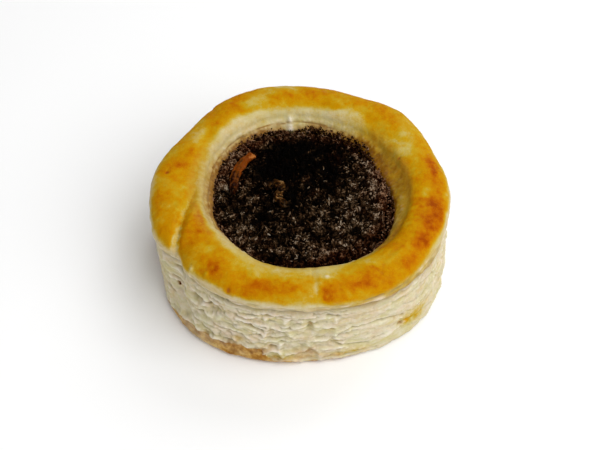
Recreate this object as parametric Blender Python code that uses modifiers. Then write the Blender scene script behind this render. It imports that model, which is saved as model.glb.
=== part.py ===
"""Vol-au-vent: a round case of puff pastry whose well holds a dark minced filling.

Four solids at their real size, in metres, +Z up, standing on Z = 0 with the middle of the case
over the origin: the pastry case, the filling, and two scraps of vegetable that lie on the filling.
Angles are in degrees about Z, with 0 along +X and -90 (the front) along -Y.
"""

import math
import random

import bmesh
import bpy
from mathutils import Vector, noise

MM = 0.001

# The case: heights and radii of its profile.
BASE_FLAT_RADIUS = 36.9 * MM
BASE_RADIUS = 38.1 * MM
BASE_LIP_HEIGHT = 1.6 * MM
CREASE_RADIUS = 36.8 * MM
CREASE_HEIGHT = 19.9 * MM
RING_RADIUS = 37.7 * MM
RING_EDGE_HEIGHT = 22.0 * MM
CROWN_RADIUS = 32.0 * MM
CROWN_HEIGHT = 25.2 * MM
WELL_MOUTH_RADIUS = 25.8 * MM
WELL_MOUTH_HEIGHT = 22.4 * MM
WELL_RADIUS = 23.6 * MM
WELL_SHOULDER_HEIGHT = 19.4 * MM
WELL_FLOOR_RADIUS = 21.6 * MM
WELL_FLOOR_HEIGHT = 6.0 * MM
ARC_STEPS = 5
CASE_STEPS = 108

# Bulges (+) and dents (-) of the case's outlines: (angle, half-width in degrees, size).
RING_BULGES = (
    (46, 10, 0.6 * MM),
    (20, 14, -0.8 * MM),
    (67, 9, -0.7 * MM),
    (110, 14, 0.7 * MM),
    (146, 14, -1.8 * MM),
    (-158, 9, 0.9 * MM),
    (-145, 5, -1.8 * MM),
    (-118, 14, 0.5 * MM),
    (-52, 20, 0.7 * MM),
)
BASE_BULGES = (
    (-168, 14, -1.8 * MM),
    (-126, 24, 1.4 * MM),
    (-86, 10, -0.6 * MM),
    (-42, 18, 1.1 * MM),
    (-5, 16, -0.6 * MM),
    (146, 16, -0.9 * MM),
)
WELL_BULGES = (
    (100, 32, 1.4 * MM),
    (-40, 28, 1.7 * MM),
    (178, 24, -1.8 * MM),
    (-138, 20, -1.3 * MM),
    (26, 18, -0.6 * MM),
)
# Where the crease under the ring, and the leaves with it, sit lower.
CREASE_DROPS = (
    (-26, 14, 2.6 * MM),
    (-58, 16, 0.9 * MM),
    (-150, 14, 1.3 * MM),
    (-112, 8, 0.6 * MM),
)

# The flaky side: leaves of pastry between creases, and pockets where leaves have parted.
LEAF_THICKNESSES = (2.1, 3.2, 2.3, 3.1, 2.0, 2.8, 2.6)
LEAF_CREASE_DEPTH = 0.6 * MM
LEAF_PROUD = 0.25
LEAF_WAVE = 0.9 * MM
LEAF_WAVE_LENGTH = 6.0 * MM
LEAF_WAVE_FADE = 3.0 * MM
CREASE_HALF_HEIGHT = 1.0 * MM
# (angle, height, half-width in degrees, half-height, depth)
POCKETS = (
    (-147, 10.7 * MM, 3.6, 3.2 * MM, 1.3 * MM),
    (-138, 12.6 * MM, 3.6, 3.6 * MM, 1.5 * MM),
    (-129, 15.2 * MM, 3.2, 2.2 * MM, 1.3 * MM),
    (-121, 14.8 * MM, 3.0, 2.0 * MM, 1.1 * MM),
    (-105, 12.8 * MM, 3.6, 1.5 * MM, 1.0 * MM),
    (-85, 14.4 * MM, 3.0, 2.2 * MM, 1.0 * MM),
    (-20, 9.0 * MM, 5.0, 2.0 * MM, 0.9 * MM),
    (38, 13.0 * MM, 4.0, 2.6 * MM, 1.2 * MM),
    (84, 8.5 * MM, 5.0, 2.2 * MM, 1.1 * MM),
    (131, 14.0 * MM, 4.0, 2.4 * MM, 1.2 * MM),
)

# The golden ring: soft blisters, and the fold that sets its left lobe apart. The fold's middle
# line, as (x, y), runs from the back to the front, where it opens into a split.
RING_BLISTER = 0.45 * MM
RING_BLISTER_LENGTH = 11.0 * MM
RING_BLISTER_FADE = 3.0 * MM
FOLD_LINE = ((-23.0, 27.0), (-23.7, 17.5), (-25.4, 4.0), (-27.6, -5.5), (-29.5, -14.0), (-31.0, -24.5))
FOLD_DEPTHS = (0.35 * MM, 1.5 * MM)
FOLD_HALF_WIDTHS = (2.0 * MM, 1.1 * MM)
FOLD_REACH_X = -12.0 * MM
LOBE_DROP = 0.5 * MM
LOBE_WIDTH = 3.5 * MM

# The filling, which stands clear of the case by a thin gap.
GAP = 0.4 * MM
FILLING_TOP = 19.3 * MM
FILLING_CELLS = 30
LUMP = 0.5 * MM
LUMP_LENGTH = 4.2 * MM
GRAIN = 0.4 * MM
GRAIN_LENGTH = 1.9 * MM
# Hollows (-) and rises (+) of its surface: (x, y, radius, size).
FILLING_RISES = (
    (-8.5 * MM, 3.0 * MM, 8.0 * MM, -1.2 * MM),
    (20.5 * MM, 1.5 * MM, 4.0 * MM, 1.0 * MM),
    (19.5 * MM, -8.5 * MM, 4.0 * MM, 0.8 * MM),
    (8.0 * MM, -13.0 * MM, 8.0 * MM, 0.5 * MM),
    (-17.5 * MM, 12.0 * MM, 4.0 * MM, 0.7 * MM),
)
# Where the filling has shrunk from the wall: (angle, half-width in degrees, distance).
SHRINKS = ((-18, 26, 2.3 * MM),)
SHRINK_FLOOR = 13.5 * MM

# Crumbs of mince that lie loose on the filling, and are fused to it.
CRUMBS = 52
CRUMB_SIZES = (0.55 * MM, 0.95 * MM)
CRUMB_FIELD = 20.5 * MM
CRUMB_FLATTENING = 0.75
CRUMB_RAISED = 0.3
CRUMB_SEED = 11

# The two scraps: their middle lines over the filling, as (x, y), and their sizes.
STRIP_LINE = ((-11.0, 14.8), (-13.6, 13.2), (-15.4, 10.8), (-16.4, 8.3), (-16.9, 5.8), (-16.7, 2.2))
STRIP_WIDTH = 2.1 * MM
STRIP_THICKNESS = 1.0 * MM
CURL_LINE = ((-8.9, 4.8), (-7.0, 5.9), (-4.7, 5.4), (-4.6, 3.2), (-5.6, 1.8), (-5.0, -0.2), (-3.3, -1.5))
CURL_WIDTH = 2.2 * MM
CURL_THICKNESS = 0.9 * MM
SCRAP_CUTS = 11
SCRAP_END_SHARE = 0.55
SCRAP_CLEARANCE = 0.15 * MM
BED_DEPTH = 0.7 * MM
BED_MARGIN = 1.3 * MM

# Colours are linear red, green, blue.
PASTRY_COLOUR = (0.55, 0.30, 0.07)
FILLING_COLOUR = (0.018, 0.011, 0.007)
STRIP_COLOUR = (0.24, 0.055, 0.008)
CURL_COLOUR = (0.10, 0.05, 0.02)


def clear_scene():
    for obj in list(bpy.data.objects):
        bpy.data.objects.remove(obj)


def new_collection(name):
    collection = bpy.data.collections.new(name)
    bpy.context.scene.collection.children.link(collection)
    return collection


def material(name, colour, roughness):
    made = bpy.data.materials.new(name)
    made.use_nodes = True
    shader = made.node_tree.nodes["Principled BSDF"]
    shader.inputs["Base Color"].default_value = (*colour, 1.0)
    shader.inputs["Roughness"].default_value = roughness
    shader.inputs["Metallic"].default_value = 0.0
    return made


def mix(a, b, share):
    return a + (b - a) * share


def smooth(value):
    """An S-curve from 0 to 1 as value goes from 0 to 1."""
    value = min(max(value, 0.0), 1.0)
    return value * value * (3.0 - 2.0 * value)


def bell(distance, half_width):
    return math.exp(-((distance / half_width) ** 2))


def turn_between(a, b):
    """The angle from b to a, between -180 and 180 degrees."""
    return (a - b + 180.0) % 360.0 - 180.0


def bulge(angle, table):
    """The sum of a table's (angle, half-width, size) bells at an angle."""
    return sum(size * bell(turn_between(angle, at), width) for at, width, size in table)


def ripple(angle, waves, level):
    """Smooth noise from -1 to 1 round the case, of about that many waves, at a level of its own."""
    a = math.radians(angle)
    return noise.noise(Vector((math.cos(a) * waves, math.sin(a) * waves, level)) * 0.6)


def rough(x, y, length, level):
    """Smooth noise from -1 to 1 over the plane, with bumps of that length."""
    return noise.noise(Vector((x / length, y / length, level)))


def direction(angle):
    a = math.radians(angle)
    return Vector((math.cos(a), math.sin(a), 0.0))


def along_line(line, share):
    """The point and the heading at a share of a smooth curve through a line's points."""
    spans = len(line) - 1
    span = min(int(share * spans), spans - 1)
    t = share * spans - span
    picked = [line[min(max(span + i, 0), spans)] for i in (-1, 0, 1, 2)]
    before, start, end, after = (Vector((x, y, 0.0)) * MM for x, y in picked)
    point = 0.5 * (
        2 * start
        + (end - before) * t
        + (2 * before - 5 * start + 4 * end - after) * t**2
        + (3 * start - before - 3 * end + after) * t**3
    )
    heading = (
        (end - before)
        + (2 * before - 5 * start + 4 * end - after) * 2 * t
        + (3 * start - before - 3 * end + after) * 3 * t**2
    )
    return point, heading.normalized()


def beside_line(x, y, line, samples=24):
    """Of a point in plan: its share along a line, and how far to the line's left (-) or right (+)."""
    point = Vector((x, y, 0.0))
    shares = [i / samples for i in range(samples + 1)]
    share = min(shares, key=lambda s: (along_line(line, s)[0] - point).length)
    nearest, heading = along_line(line, share)
    offset = point - nearest
    side = 1.0 if heading.cross(offset).z < 0.0 else -1.0
    return share, side * offset.length


def off_line(x, y, line):
    """The distance in plan from a point to a line."""
    return abs(beside_line(x, y, line)[1])


# --- The pastry case ---------------------------------------------------------------------------


def arc(centre_r, centre_z, half_r, half_z, start, end, steps):
    """Points of an ellipse in the profile's plane, from one angle to another."""
    turns = [math.radians(mix(start, end, i / steps)) for i in range(steps + 1)]
    return [(centre_r + half_r * math.cos(a), centre_z + half_z * math.sin(a)) for a in turns]


def leaf_edges():
    """The heights of the creases between the leaves, from the ring's crease down to the lip."""
    edges = [CREASE_HEIGHT]
    for thickness in LEAF_THICKNESSES:
        share = thickness / sum(LEAF_THICKNESSES)
        edges.append(edges[-1] - share * (CREASE_HEIGHT - BASE_LIP_HEIGHT))
    return edges


def leaf_rows():
    """The heights of the side's rows: each crease, and the middle of each leaf."""
    edges = leaf_edges()
    middles = [mix(top, bottom, 0.5) for top, bottom in zip(edges, edges[1:])]
    rows = [edges[0]]
    for middle, bottom in zip(middles, edges[1:]):
        rows += [middle, bottom]
    return rows


def case_profile():
    """(radius, height) from the middle of the well's floor, over the ring and down to the base."""
    well = [
        (0.0, WELL_FLOOR_HEIGHT),
        (WELL_FLOOR_RADIUS, WELL_FLOOR_HEIGHT),
        (WELL_RADIUS, WELL_SHOULDER_HEIGHT),
        (mix(WELL_RADIUS, WELL_MOUTH_RADIUS, 0.4), mix(WELL_SHOULDER_HEIGHT, WELL_MOUTH_HEIGHT, 0.5)),
    ]
    inner = arc(
        CROWN_RADIUS,
        WELL_MOUTH_HEIGHT,
        CROWN_RADIUS - WELL_MOUTH_RADIUS,
        CROWN_HEIGHT - WELL_MOUTH_HEIGHT,
        180,
        90,
        ARC_STEPS,
    )
    outer = arc(
        CROWN_RADIUS,
        RING_EDGE_HEIGHT,
        RING_RADIUS - CROWN_RADIUS,
        CROWN_HEIGHT - RING_EDGE_HEIGHT,
        90,
        0,
        ARC_STEPS,
    )
    edge = [
        (RING_RADIUS, mix(RING_EDGE_HEIGHT, CREASE_HEIGHT, 0.4)),
        (mix(RING_RADIUS, CREASE_RADIUS, 0.5), mix(RING_EDGE_HEIGHT, CREASE_HEIGHT, 0.75)),
    ]
    side = [
        (mix(BASE_RADIUS, CREASE_RADIUS, smooth(z / CREASE_HEIGHT)), z) for z in leaf_rows()
    ]
    lip = [(mix(BASE_FLAT_RADIUS, BASE_RADIUS, 0.7), mix(0.0, BASE_LIP_HEIGHT, 0.3))]
    return well + inner + outer[1:] + edge + side + lip + [(BASE_FLAT_RADIUS, 0.0), (0.0, 0.0)]


def turned(name, profile, steps):
    """A mesh made by turning a profile about Z."""
    mesh = bpy.data.meshes.new(name)
    edges = [(i, i + 1) for i in range(len(profile) - 1)]
    mesh.from_pydata([(r, 0.0, z) for r, z in profile], edges, [])
    guide = bpy.data.objects.new(name, mesh)
    bpy.context.scene.collection.objects.link(guide)
    screw = guide.modifiers.new("Screw", "SCREW")
    screw.steps = steps
    screw.render_steps = steps
    screw.use_merge_vertices = True
    screw.merge_threshold = 0.00001
    graph = bpy.context.evaluated_depsgraph_get()
    made = bpy.data.meshes.new_from_object(guide.evaluated_get(graph))
    bpy.data.objects.remove(guide)
    made.name = name
    return made


def leaf_relief(angle, height):
    """How far the side stands out: thick leaves bulge most, with creases between them."""
    edges = leaf_edges()
    relief = 0.0
    for index, (top, bottom) in enumerate(zip(edges, edges[1:])):
        middle = mix(top, bottom, 0.5)
        share = 1.0 - abs(height - middle) / (top - middle)
        bulging = LEAF_PROUD * (top - bottom) * (0.5 + ripple(angle, 7, 5.7 * index + 2.0))
        relief += bulging * smooth(share)
    for index, edge in enumerate(edges[1:-1]):
        depth = LEAF_CREASE_DEPTH * (0.6 + ripple(angle, 9, 3.1 * index + 1.0))
        relief -= depth * smooth(1.0 - abs(height - edge) / CREASE_HALF_HEIGHT)
    return relief


def pocket_depth(angle, height):
    """How deep the side is hollowed where its leaves have parted."""
    return sum(
        depth * bell(turn_between(angle, at), wide) * bell(height - level, tall)
        for at, level, wide, tall, depth in POCKETS
    )


def leaf_wave(angle, height):
    """How far a leaf rises and falls as it goes round the case."""
    share = smooth(height / LEAF_WAVE_FADE) * smooth((CREASE_HEIGHT - height) / LEAF_WAVE_FADE)
    drop = bulge(angle, CREASE_DROPS) * smooth(height / CREASE_HEIGHT)
    return LEAF_WAVE * share * ripple(angle, 5, height / LEAF_WAVE_LENGTH) - drop


def fold_relief(point):
    """The ring's change of height at its fold, and over the lobe that the fold leaves outside."""
    if point.x > FOLD_REACH_X:
        return 0.0
    share, beyond = beside_line(point.x, point.y, FOLD_LINE)
    depth = mix(*FOLD_DEPTHS, smooth(share))
    groove = depth * bell(beyond, mix(*FOLD_HALF_WIDTHS, smooth(share)))
    lobe = LOBE_DROP * smooth(beyond / LOBE_WIDTH)
    return -groove - lobe


def case_point(point):
    """Where a point of the plain turned case lies on the real, uneven one."""
    radius = math.hypot(point.x, point.y)
    height = point.z
    angle = math.degrees(math.atan2(point.y, point.x))
    outward = direction(angle)
    base_shift = bulge(angle, BASE_BULGES)
    if height <= 0.0:
        return outward * (radius * (1.0 + base_shift / BASE_RADIUS))
    share = smooth(height / RING_EDGE_HEIGHT)
    outer_shift = mix(base_shift, bulge(angle, RING_BULGES), share)
    outside = smooth((radius - WELL_RADIUS) / (CREASE_RADIUS - WELL_RADIUS))
    inner_shift = bulge(angle, WELL_BULGES) * min(radius / WELL_RADIUS, 1.0)
    shift = mix(inner_shift, outer_shift, outside)
    on_side = radius >= CREASE_RADIUS and height <= RING_EDGE_HEIGHT
    if on_side:
        shift += leaf_relief(angle, height) - pocket_depth(angle, height)
        height += leaf_wave(angle, height) * smooth((RING_EDGE_HEIGHT - height) / MM)
    placed = outward * (radius + shift)
    top = smooth((point.z - WELL_SHOULDER_HEIGHT) / RING_BLISTER_FADE)
    blister = RING_BLISTER * rough(placed.x, placed.y, RING_BLISTER_LENGTH, 4.0)
    placed.z = height + top * (blister + fold_relief(placed))
    return placed


def pastry_case(collection):
    mesh = turned("pastry_case", case_profile(), CASE_STEPS)
    for vertex in mesh.vertices:
        vertex.co = case_point(vertex.co.copy())
    mesh.shade_smooth()
    mesh.materials.append(material("puff_pastry", PASTRY_COLOUR, 0.55))
    case = bpy.data.objects.new("pastry_case", mesh)
    collection.objects.link(case)
    return case


# --- The filling -------------------------------------------------------------------------------


def well_point(angle, height, inset):
    """A point a little inside the well's wall, at an angle and a height."""
    share = (height - WELL_FLOOR_HEIGHT) / (WELL_SHOULDER_HEIGHT - WELL_FLOOR_HEIGHT)
    radius = mix(WELL_FLOOR_RADIUS, WELL_RADIUS, min(share, 1.0)) - inset
    placed = direction(angle) * (radius + bulge(angle, WELL_BULGES))
    placed.z = height
    return placed


def filling_rise(x, y):
    """The filling's broad hollows and rises."""
    return sum(
        size * bell(math.hypot(x - at_x, y - at_y), radius)
        for at_x, at_y, radius, size in FILLING_RISES
    )


def bed_share(x, y):
    """1 under a scrap, falling to 0 beside it."""
    strip = 1.0 - smooth((off_line(x, y, STRIP_LINE) - STRIP_WIDTH / 2) / BED_MARGIN)
    curl = 1.0 - smooth((off_line(x, y, CURL_LINE) - CURL_WIDTH / 2) / BED_MARGIN)
    return max(strip, curl)


def filling_height(x, y):
    """The height of the filling's surface: rises, lumps and grains, pressed in under the scraps."""
    lumps = LUMP * rough(x, y, LUMP_LENGTH, 1.0)
    grains = GRAIN * rough(x, y, GRAIN_LENGTH, 7.0)
    bed = bed_share(x, y)
    return FILLING_TOP + filling_rise(x, y) + mix(lumps + grains, -BED_DEPTH, bed)


def round_grid(cells):
    """A bmesh disc of radius 1, made from a square grid so that its faces are much alike."""
    disc = bmesh.new()
    bmesh.ops.create_grid(disc, x_segments=cells, y_segments=cells, size=1.0)
    for vertex in disc.verts:
        x, y = vertex.co.x, vertex.co.y
        vertex.co.x = x * math.sqrt(1.0 - y * y / 2.0)
        vertex.co.y = y * math.sqrt(1.0 - x * x / 2.0)
    return disc


def filling_core():
    """The filling without its crumbs: an uneven disc whose edge is drawn down into the well."""
    disc = round_grid(FILLING_CELLS)
    rim = [edge for edge in disc.edges if edge.is_boundary]
    angles = {}
    for vertex in disc.verts:
        angle = math.degrees(math.atan2(vertex.co.y, vertex.co.x))
        share = vertex.co.xy.length
        angles[vertex] = angle
        edge = well_point(angle, FILLING_TOP, GAP + bulge(angle, SHRINKS))
        placed = edge * share
        vertex.co = (placed.x, placed.y, filling_height(placed.x, placed.y))
    for level in (mix(SHRINK_FLOOR, FILLING_TOP, 0.5), SHRINK_FLOOR, WELL_FLOOR_HEIGHT + GAP):
        shrunk = smooth((level - SHRINK_FLOOR) / (FILLING_TOP - SHRINK_FLOOR))
        upper = {vertex for edge in rim for vertex in edge.verts}
        made = bmesh.ops.extrude_edge_only(disc, edges=rim)["geom"]
        rim = [item for item in made if isinstance(item, bmesh.types.BMEdge) and item.is_boundary]
        for vertex in {vertex for edge in rim for vertex in edge.verts}:
            above = next(e.other_vert(vertex) for e in vertex.link_edges if e.other_vert(vertex) in upper)
            angles[vertex] = angles[above]
            inset = GAP + shrunk * bulge(angles[vertex], SHRINKS)
            vertex.co = well_point(angles[vertex], level, inset)
    bmesh.ops.contextual_create(disc, geom=rim)
    bmesh.ops.recalc_face_normals(disc, faces=disc.faces)
    mesh = bpy.data.meshes.new("filling")
    disc.to_mesh(mesh)
    disc.free()
    return mesh


def crumb(index, place, size, draw, collection):
    """One crumb: a small uneven lump with few sides, partly sunk in the filling."""
    lump = bmesh.new()
    bmesh.ops.create_icosphere(lump, subdivisions=1, radius=size)
    for vertex in lump.verts:
        vertex.co *= draw.uniform(0.8, 1.2)
        vertex.co.z *= CRUMB_FLATTENING
    mesh = bpy.data.meshes.new(f"crumb_{index}")
    lump.to_mesh(mesh)
    lump.free()
    piece = bpy.data.objects.new(f"crumb_{index}", mesh)
    piece.location = (place.x, place.y, filling_height(place.x, place.y) + CRUMB_RAISED * size)
    piece.rotation_euler.z = draw.uniform(0.0, math.tau)
    collection.objects.link(piece)


def scatter_crumbs(collection):
    """Crumbs spread evenly over the filling along a sunflower spiral, clear of the scraps."""
    draw = random.Random(CRUMB_SEED)
    golden_turn = math.pi * (3.0 - math.sqrt(5.0))
    for index in range(CRUMBS):
        radius = CRUMB_FIELD * math.sqrt((index + 0.5) / CRUMBS)
        turn = index * golden_turn + draw.uniform(-0.2, 0.2)
        place = Vector((radius * math.cos(turn), radius * math.sin(turn), 0.0))
        size = draw.uniform(*CRUMB_SIZES)
        if bed_share(place.x, place.y) == 0.0:
            crumb(index, place, size, draw, collection)


def join_crumbs(filling, crumbs):
    """One union of the filling with its crumbs, applied, after which the crumbs go."""
    union = filling.modifiers.new("Crumbs", "BOOLEAN")
    union.operation = "UNION"
    union.operand_type = "COLLECTION"
    union.collection = crumbs
    graph = bpy.context.evaluated_depsgraph_get()
    joined = bpy.data.meshes.new_from_object(filling.evaluated_get(graph))
    filling.modifiers.clear()
    filling.data = joined
    for piece in list(crumbs.objects):
        bpy.data.objects.remove(piece)
    bpy.data.collections.remove(crumbs)


def filling(collection):
    made = bpy.data.objects.new("filling", filling_core())
    collection.objects.link(made)
    crumbs = new_collection("crumbs")
    scatter_crumbs(crumbs)
    join_crumbs(made, crumbs)
    made.data.materials.clear()
    made.data.materials.append(material("minced_filling", FILLING_COLOUR, 0.5))
    return made


# --- The scraps on the filling -----------------------------------------------------------------


def scrap(name, line, width, thickness, colour, collection):
    """A shred: a box drawn along its line, thinner at its ends, that lies in the filling's bed."""
    shred = bmesh.new()
    bmesh.ops.create_cube(shred, size=1.0)
    long_edges = [e for e in shred.edges if abs(e.verts[0].co.x - e.verts[1].co.x) > 0.5]
    bmesh.ops.subdivide_edges(shred, edges=long_edges, cuts=SCRAP_CUTS)
    for vertex in shred.verts:
        share = vertex.co.x + 0.5
        middle, heading = along_line(line, share)
        across = Vector((-heading.y, heading.x, 0.0))
        taper = mix(SCRAP_END_SHARE, 1.0, math.sin(math.pi * share))
        placed = middle + across * (vertex.co.y * width * taper)
        rest = FILLING_TOP + filling_rise(middle.x, middle.y) - BED_DEPTH + GAP
        placed.z = rest + (vertex.co.z + 0.5) * thickness * taper + SCRAP_CLEARANCE
        vertex.co = placed
    bmesh.ops.recalc_face_normals(shred, faces=shred.faces)
    mesh = bpy.data.meshes.new(name)
    shred.to_mesh(mesh)
    shred.free()
    mesh.shade_smooth()
    mesh.materials.append(material(name, colour, 0.35))
    made = bpy.data.objects.new(name, mesh)
    collection.objects.link(made)
    rounding = made.modifiers.new("Rounding", "SUBSURF")
    rounding.levels = 1
    rounding.render_levels = 1
    return made


def main():
    clear_scene()
    parts = new_collection("vol_au_vent")
    pastry_case(parts)
    filling(parts)
    scrap("carrot_strip", STRIP_LINE, STRIP_WIDTH, STRIP_THICKNESS, STRIP_COLOUR, parts)
    scrap("onion_curl", CURL_LINE, CURL_WIDTH, CURL_THICKNESS, CURL_COLOUR, parts)


main()
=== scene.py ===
"""The looks of a vol-au-vent: a golden ring of puff pastry on flaky sides, filled with dark mince.

Each piece stands for a solid of the frame and keeps its form. Sizes are in millimetres until a
mesh is made, and angles are in degrees about Z, with 0 along +X and -90 (the front) along -Y.
"""

import itertools
import math

import bmesh
import bpy
import numpy as np
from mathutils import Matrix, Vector


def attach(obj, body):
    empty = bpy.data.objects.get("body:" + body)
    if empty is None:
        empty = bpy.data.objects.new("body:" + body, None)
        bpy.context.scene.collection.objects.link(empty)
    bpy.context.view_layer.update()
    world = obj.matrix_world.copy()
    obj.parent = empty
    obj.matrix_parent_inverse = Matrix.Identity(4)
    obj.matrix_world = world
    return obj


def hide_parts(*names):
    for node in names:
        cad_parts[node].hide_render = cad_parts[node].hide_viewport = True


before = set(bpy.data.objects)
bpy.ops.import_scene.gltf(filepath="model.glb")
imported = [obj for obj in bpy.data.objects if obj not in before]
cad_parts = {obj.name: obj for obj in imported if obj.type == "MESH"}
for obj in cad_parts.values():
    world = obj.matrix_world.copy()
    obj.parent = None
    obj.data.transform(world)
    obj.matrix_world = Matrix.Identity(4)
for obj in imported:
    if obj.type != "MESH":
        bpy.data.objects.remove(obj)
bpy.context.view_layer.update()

MM = 0.001
BODY = "root"

# --- The form that the pieces share with the frame's solids ------------------------------------

BASE_FLAT_RADIUS = 36.9
BASE_RADIUS = 38.1
BASE_LIP_HEIGHT = 1.6
CREASE_RADIUS = 36.8
CREASE_HEIGHT = 19.9
RING_RADIUS = 37.7
RING_EDGE_HEIGHT = 22.0
CROWN_RADIUS = 32.0
CROWN_HEIGHT = 25.2
WELL_MOUTH_RADIUS = 25.8
WELL_MOUTH_HEIGHT = 22.4
WELL_RADIUS = 23.6
WELL_SHOULDER_HEIGHT = 19.4
WELL_FLOOR_RADIUS = 21.6
WELL_FLOOR_HEIGHT = 6.0
# Where the ring and the side meet, inside the case.
SEAM_GAP = 0.25
SEAM_INNER_HEIGHT = 17.6
SEAM_INNER_RADIUS = WELL_RADIUS - 0.2
SEAM_OUTER_RADIUS = CREASE_RADIUS - 0.6
SIDE_TOP = CREASE_HEIGHT - SEAM_GAP

# Bulges (+) and dents (-) of the outlines: (angle, half-width in degrees, size).
RING_BULGES = (
    (46, 10, 0.6), (20, 14, -0.8), (67, 9, -0.7), (110, 14, 0.7), (146, 14, -1.8), (-158, 9, 0.9),
    (-145, 5, -1.8), (-118, 14, 0.5), (-52, 20, 0.7),
)
BASE_BULGES = (
    (-168, 14, -1.8), (-126, 24, 1.4), (-86, 10, -0.6), (-42, 18, 1.1), (-5, 16, -0.6), (146, 16, -0.9),
)
WELL_BULGES = ((100, 32, 1.4), (-40, 28, 1.7), (178, 24, -1.8), (-138, 20, -1.3), (26, 18, -0.6))
CREASE_DROPS = ((-26, 14, 2.6), (-58, 16, 0.9), (-150, 14, 1.3), (-112, 8, 0.6))
# How much lower still the ring's edge hangs in front.
EDGE_SAGS = ((-49, 14, 1.2), (-23, 15, 2.4))

# The fold in the ring's left, from the back to the front, as (x, y).
FOLD_LINE = ((-23, 27), (-23.7, 17.5), (-25.4, 4), (-27.6, -5.5), (-29.5, -14), (-31, -24.5))
FOLD_DEPTHS = (0.35, 1.5)
FOLD_HALF_WIDTHS = (2.0, 1.1)
FOLD_REACH_X = -12.0
LOBE_DROP = 0.5
LOBE_WIDTH = 3.5
# The fold's crack with its raised lip, paled as a painted highlight, and the pale dough torn beside
# it. Starts are shares of the fold's line, and offsets lie outside it.
CRACK_START = 0.38
CRACK_DEPTH = 0.6
CRACK_HALF_WIDTH = 0.24
LIP_OFFSET = 0.65
LIP_HALF_WIDTH = 0.45
LIP_RISE = 0.12
LIP_HIGHLIGHT = 0.45
TORN_START = 0.2
TORN_WIDENS = 0.55
TORN_OFFSET = 0.25
TORN_HALF_WIDTHS = (0.5, 1.35)
TORN_PALENESS = (0.55, 1.0)

GAP = 0.4
FILLING_TOP = 19.3
FILLING_RISES = (
    (-8.5, 3, 8, -1.2), (20.5, 1.5, 4, 1), (19.5, -8.5, 4, 0.8), (8, -13, 8, 0.5), (-17.5, 12, 4, 0.7),
)
SHRINKS = ((-18, 26, 2.3),)
SHRINK_FLOOR = 13.5
BED_DEPTH = 0.7
BED_MARGIN = 0.7
# How far the filling's edge is drawn down into the well.
EDGE_DRAW = 1.0

STRIP_LINE = ((-11.9, 15.7), (-13.6, 13.9), (-15.3, 11), (-16.4, 8.3), (-16.9, 5.8), (-16.8, 2.2))
STRIP_WIDTH = 2.3
# Width, thickness, how crumpled it is, and how far its colour changes along its line.
STRIP_FORM = (STRIP_WIDTH, 1.0, 0.35, 1.0)
CURL_LINE = ((-8.9, 4.8), (-7, 5.9), (-4.7, 5.4), (-4.6, 3.2), (-5.6, 1.8), (-5, -0.2), (-3.3, -1.5))
CURL_WIDTH = 2.2
CURL_FORM = (CURL_WIDTH, 0.9, 1.0, 0.2)
SCRAP_CLEARANCE = 0.15

# --- The finer forms ---------------------------------------------------------------------------

COLUMNS = 960
# The angles of the points round the case, and their shares of a turn.
ROUND = np.linspace(-180.0, 180.0, COLUMNS, endpoint=False)[None, :]
ROUND_SHARE = (ROUND + 180.0) / 360.0
RING_SPACING = 0.36
SIDE_SPACING = 0.25
HIDDEN_SPACING = 4.0
# The rings of points that close the well's floor and the base.
FLOOR_CAP_RADIUS = 12.0
BASE_CAP_RADII = (36.3, 30.0, 15.0)
UNDERCUT = 0.6
SIDE_RELIEF_LIMITS = (-1.9, 0.75)

# The side's leaves, as (pitch, reach, seed), and its flakes, as (length, height, step, edge, seed).
THIN_LEAF = (0.95, 0.19, 51)
THICK_LEAF = (2.7, 0.95, 61)
LARGE_FLAKE = (4.2, 1.5, 0.6, 0.26, 53)
SMALL_FLAKE = (1.5, 0.52, 0.22, 0.12, 57)
# The leaves climb to the right, most of all there.
SLANT_ANGLE = -45.0
SLANT_HALF_WIDTH = 32.0
SLANT_A_DEGREE = 0.16
# Where the side is smoother, and where it is blistered.
SMOOTH_STRETCHES = ((-50, 30, 0.85), (5, 14, 0.4), (-142, 13, 0.8), (-162, 10, 0.6))
BLISTERED_STRETCHES = (
    (-137, 17, 0.6), (-168, 14, 0.6), (-94, 22, 0.75), (62, 22, 0.7), (148, 20, 0.8), (18, 12, 0.5),
)
BLISTERS_ROUND = 38
BLISTER_TALL = 4.3
BLISTER_SEED = 3
BLISTERS_TOP = 18.5

# Hollows in the side: (angle, height, half-length, half-height, depth, rise along the length).
NAMED_GAPS = (
    (-146.4, 10.2, 0.6, 0.4, 1.9, 0.45), (-142.8, 11.7, 1.8, 0.2, 0.9, 0.35),
    (-120.6, 15.6, 0.6, 0.7, 1.3, 0), (-140, 7.6, 5, 3, 1.2, 0), (-132.5, 13.6, 2.3, 1.4, 1.3, 0.1),
    (-124.5, 13.8, 1.8, 1.5, 1, 0), (-120, 13.6, 1.4, 1.2, 0.5, 0), (-102, 17.2, 1.6, 0.3, 1.3, 0),
    (-96.6, 17, 1.5, 0.25, 1.2, 0), (-107.5, 12.3, 2.6, 0.45, 1.4, -0.35),
    (-104, 9.9, 2.2, 0.25, 0.9, -0.2), (-96.3, 8.4, 1.1, 0.3, 1.1, 0), (-92.2, 8.6, 0.9, 0.3, 1, 0),
    (-100.3, 6.6, 0.9, 0.5, 1, 0), (-86.3, 14, 0.8, 1.5, 0.9, 0), (-89.5, 16.3, 0.9, 0.4, 1, 0.2),
    (-78.6, 16.9, 1.2, 0.45, 1.1, 0), (-75.6, 16.4, 0.5, 0.5, 1.1, 0), (-73.6, 17.6, 0.9, 0.25, 0.9, 0),
    (-93.4, 16.9, 1, 0.25, 1, 0), (-81, 17.9, 3.4, 0.3, 0.8, 0), (-49.8, 6.2, 0.6, 0.4, 1, 0),
)
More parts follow.
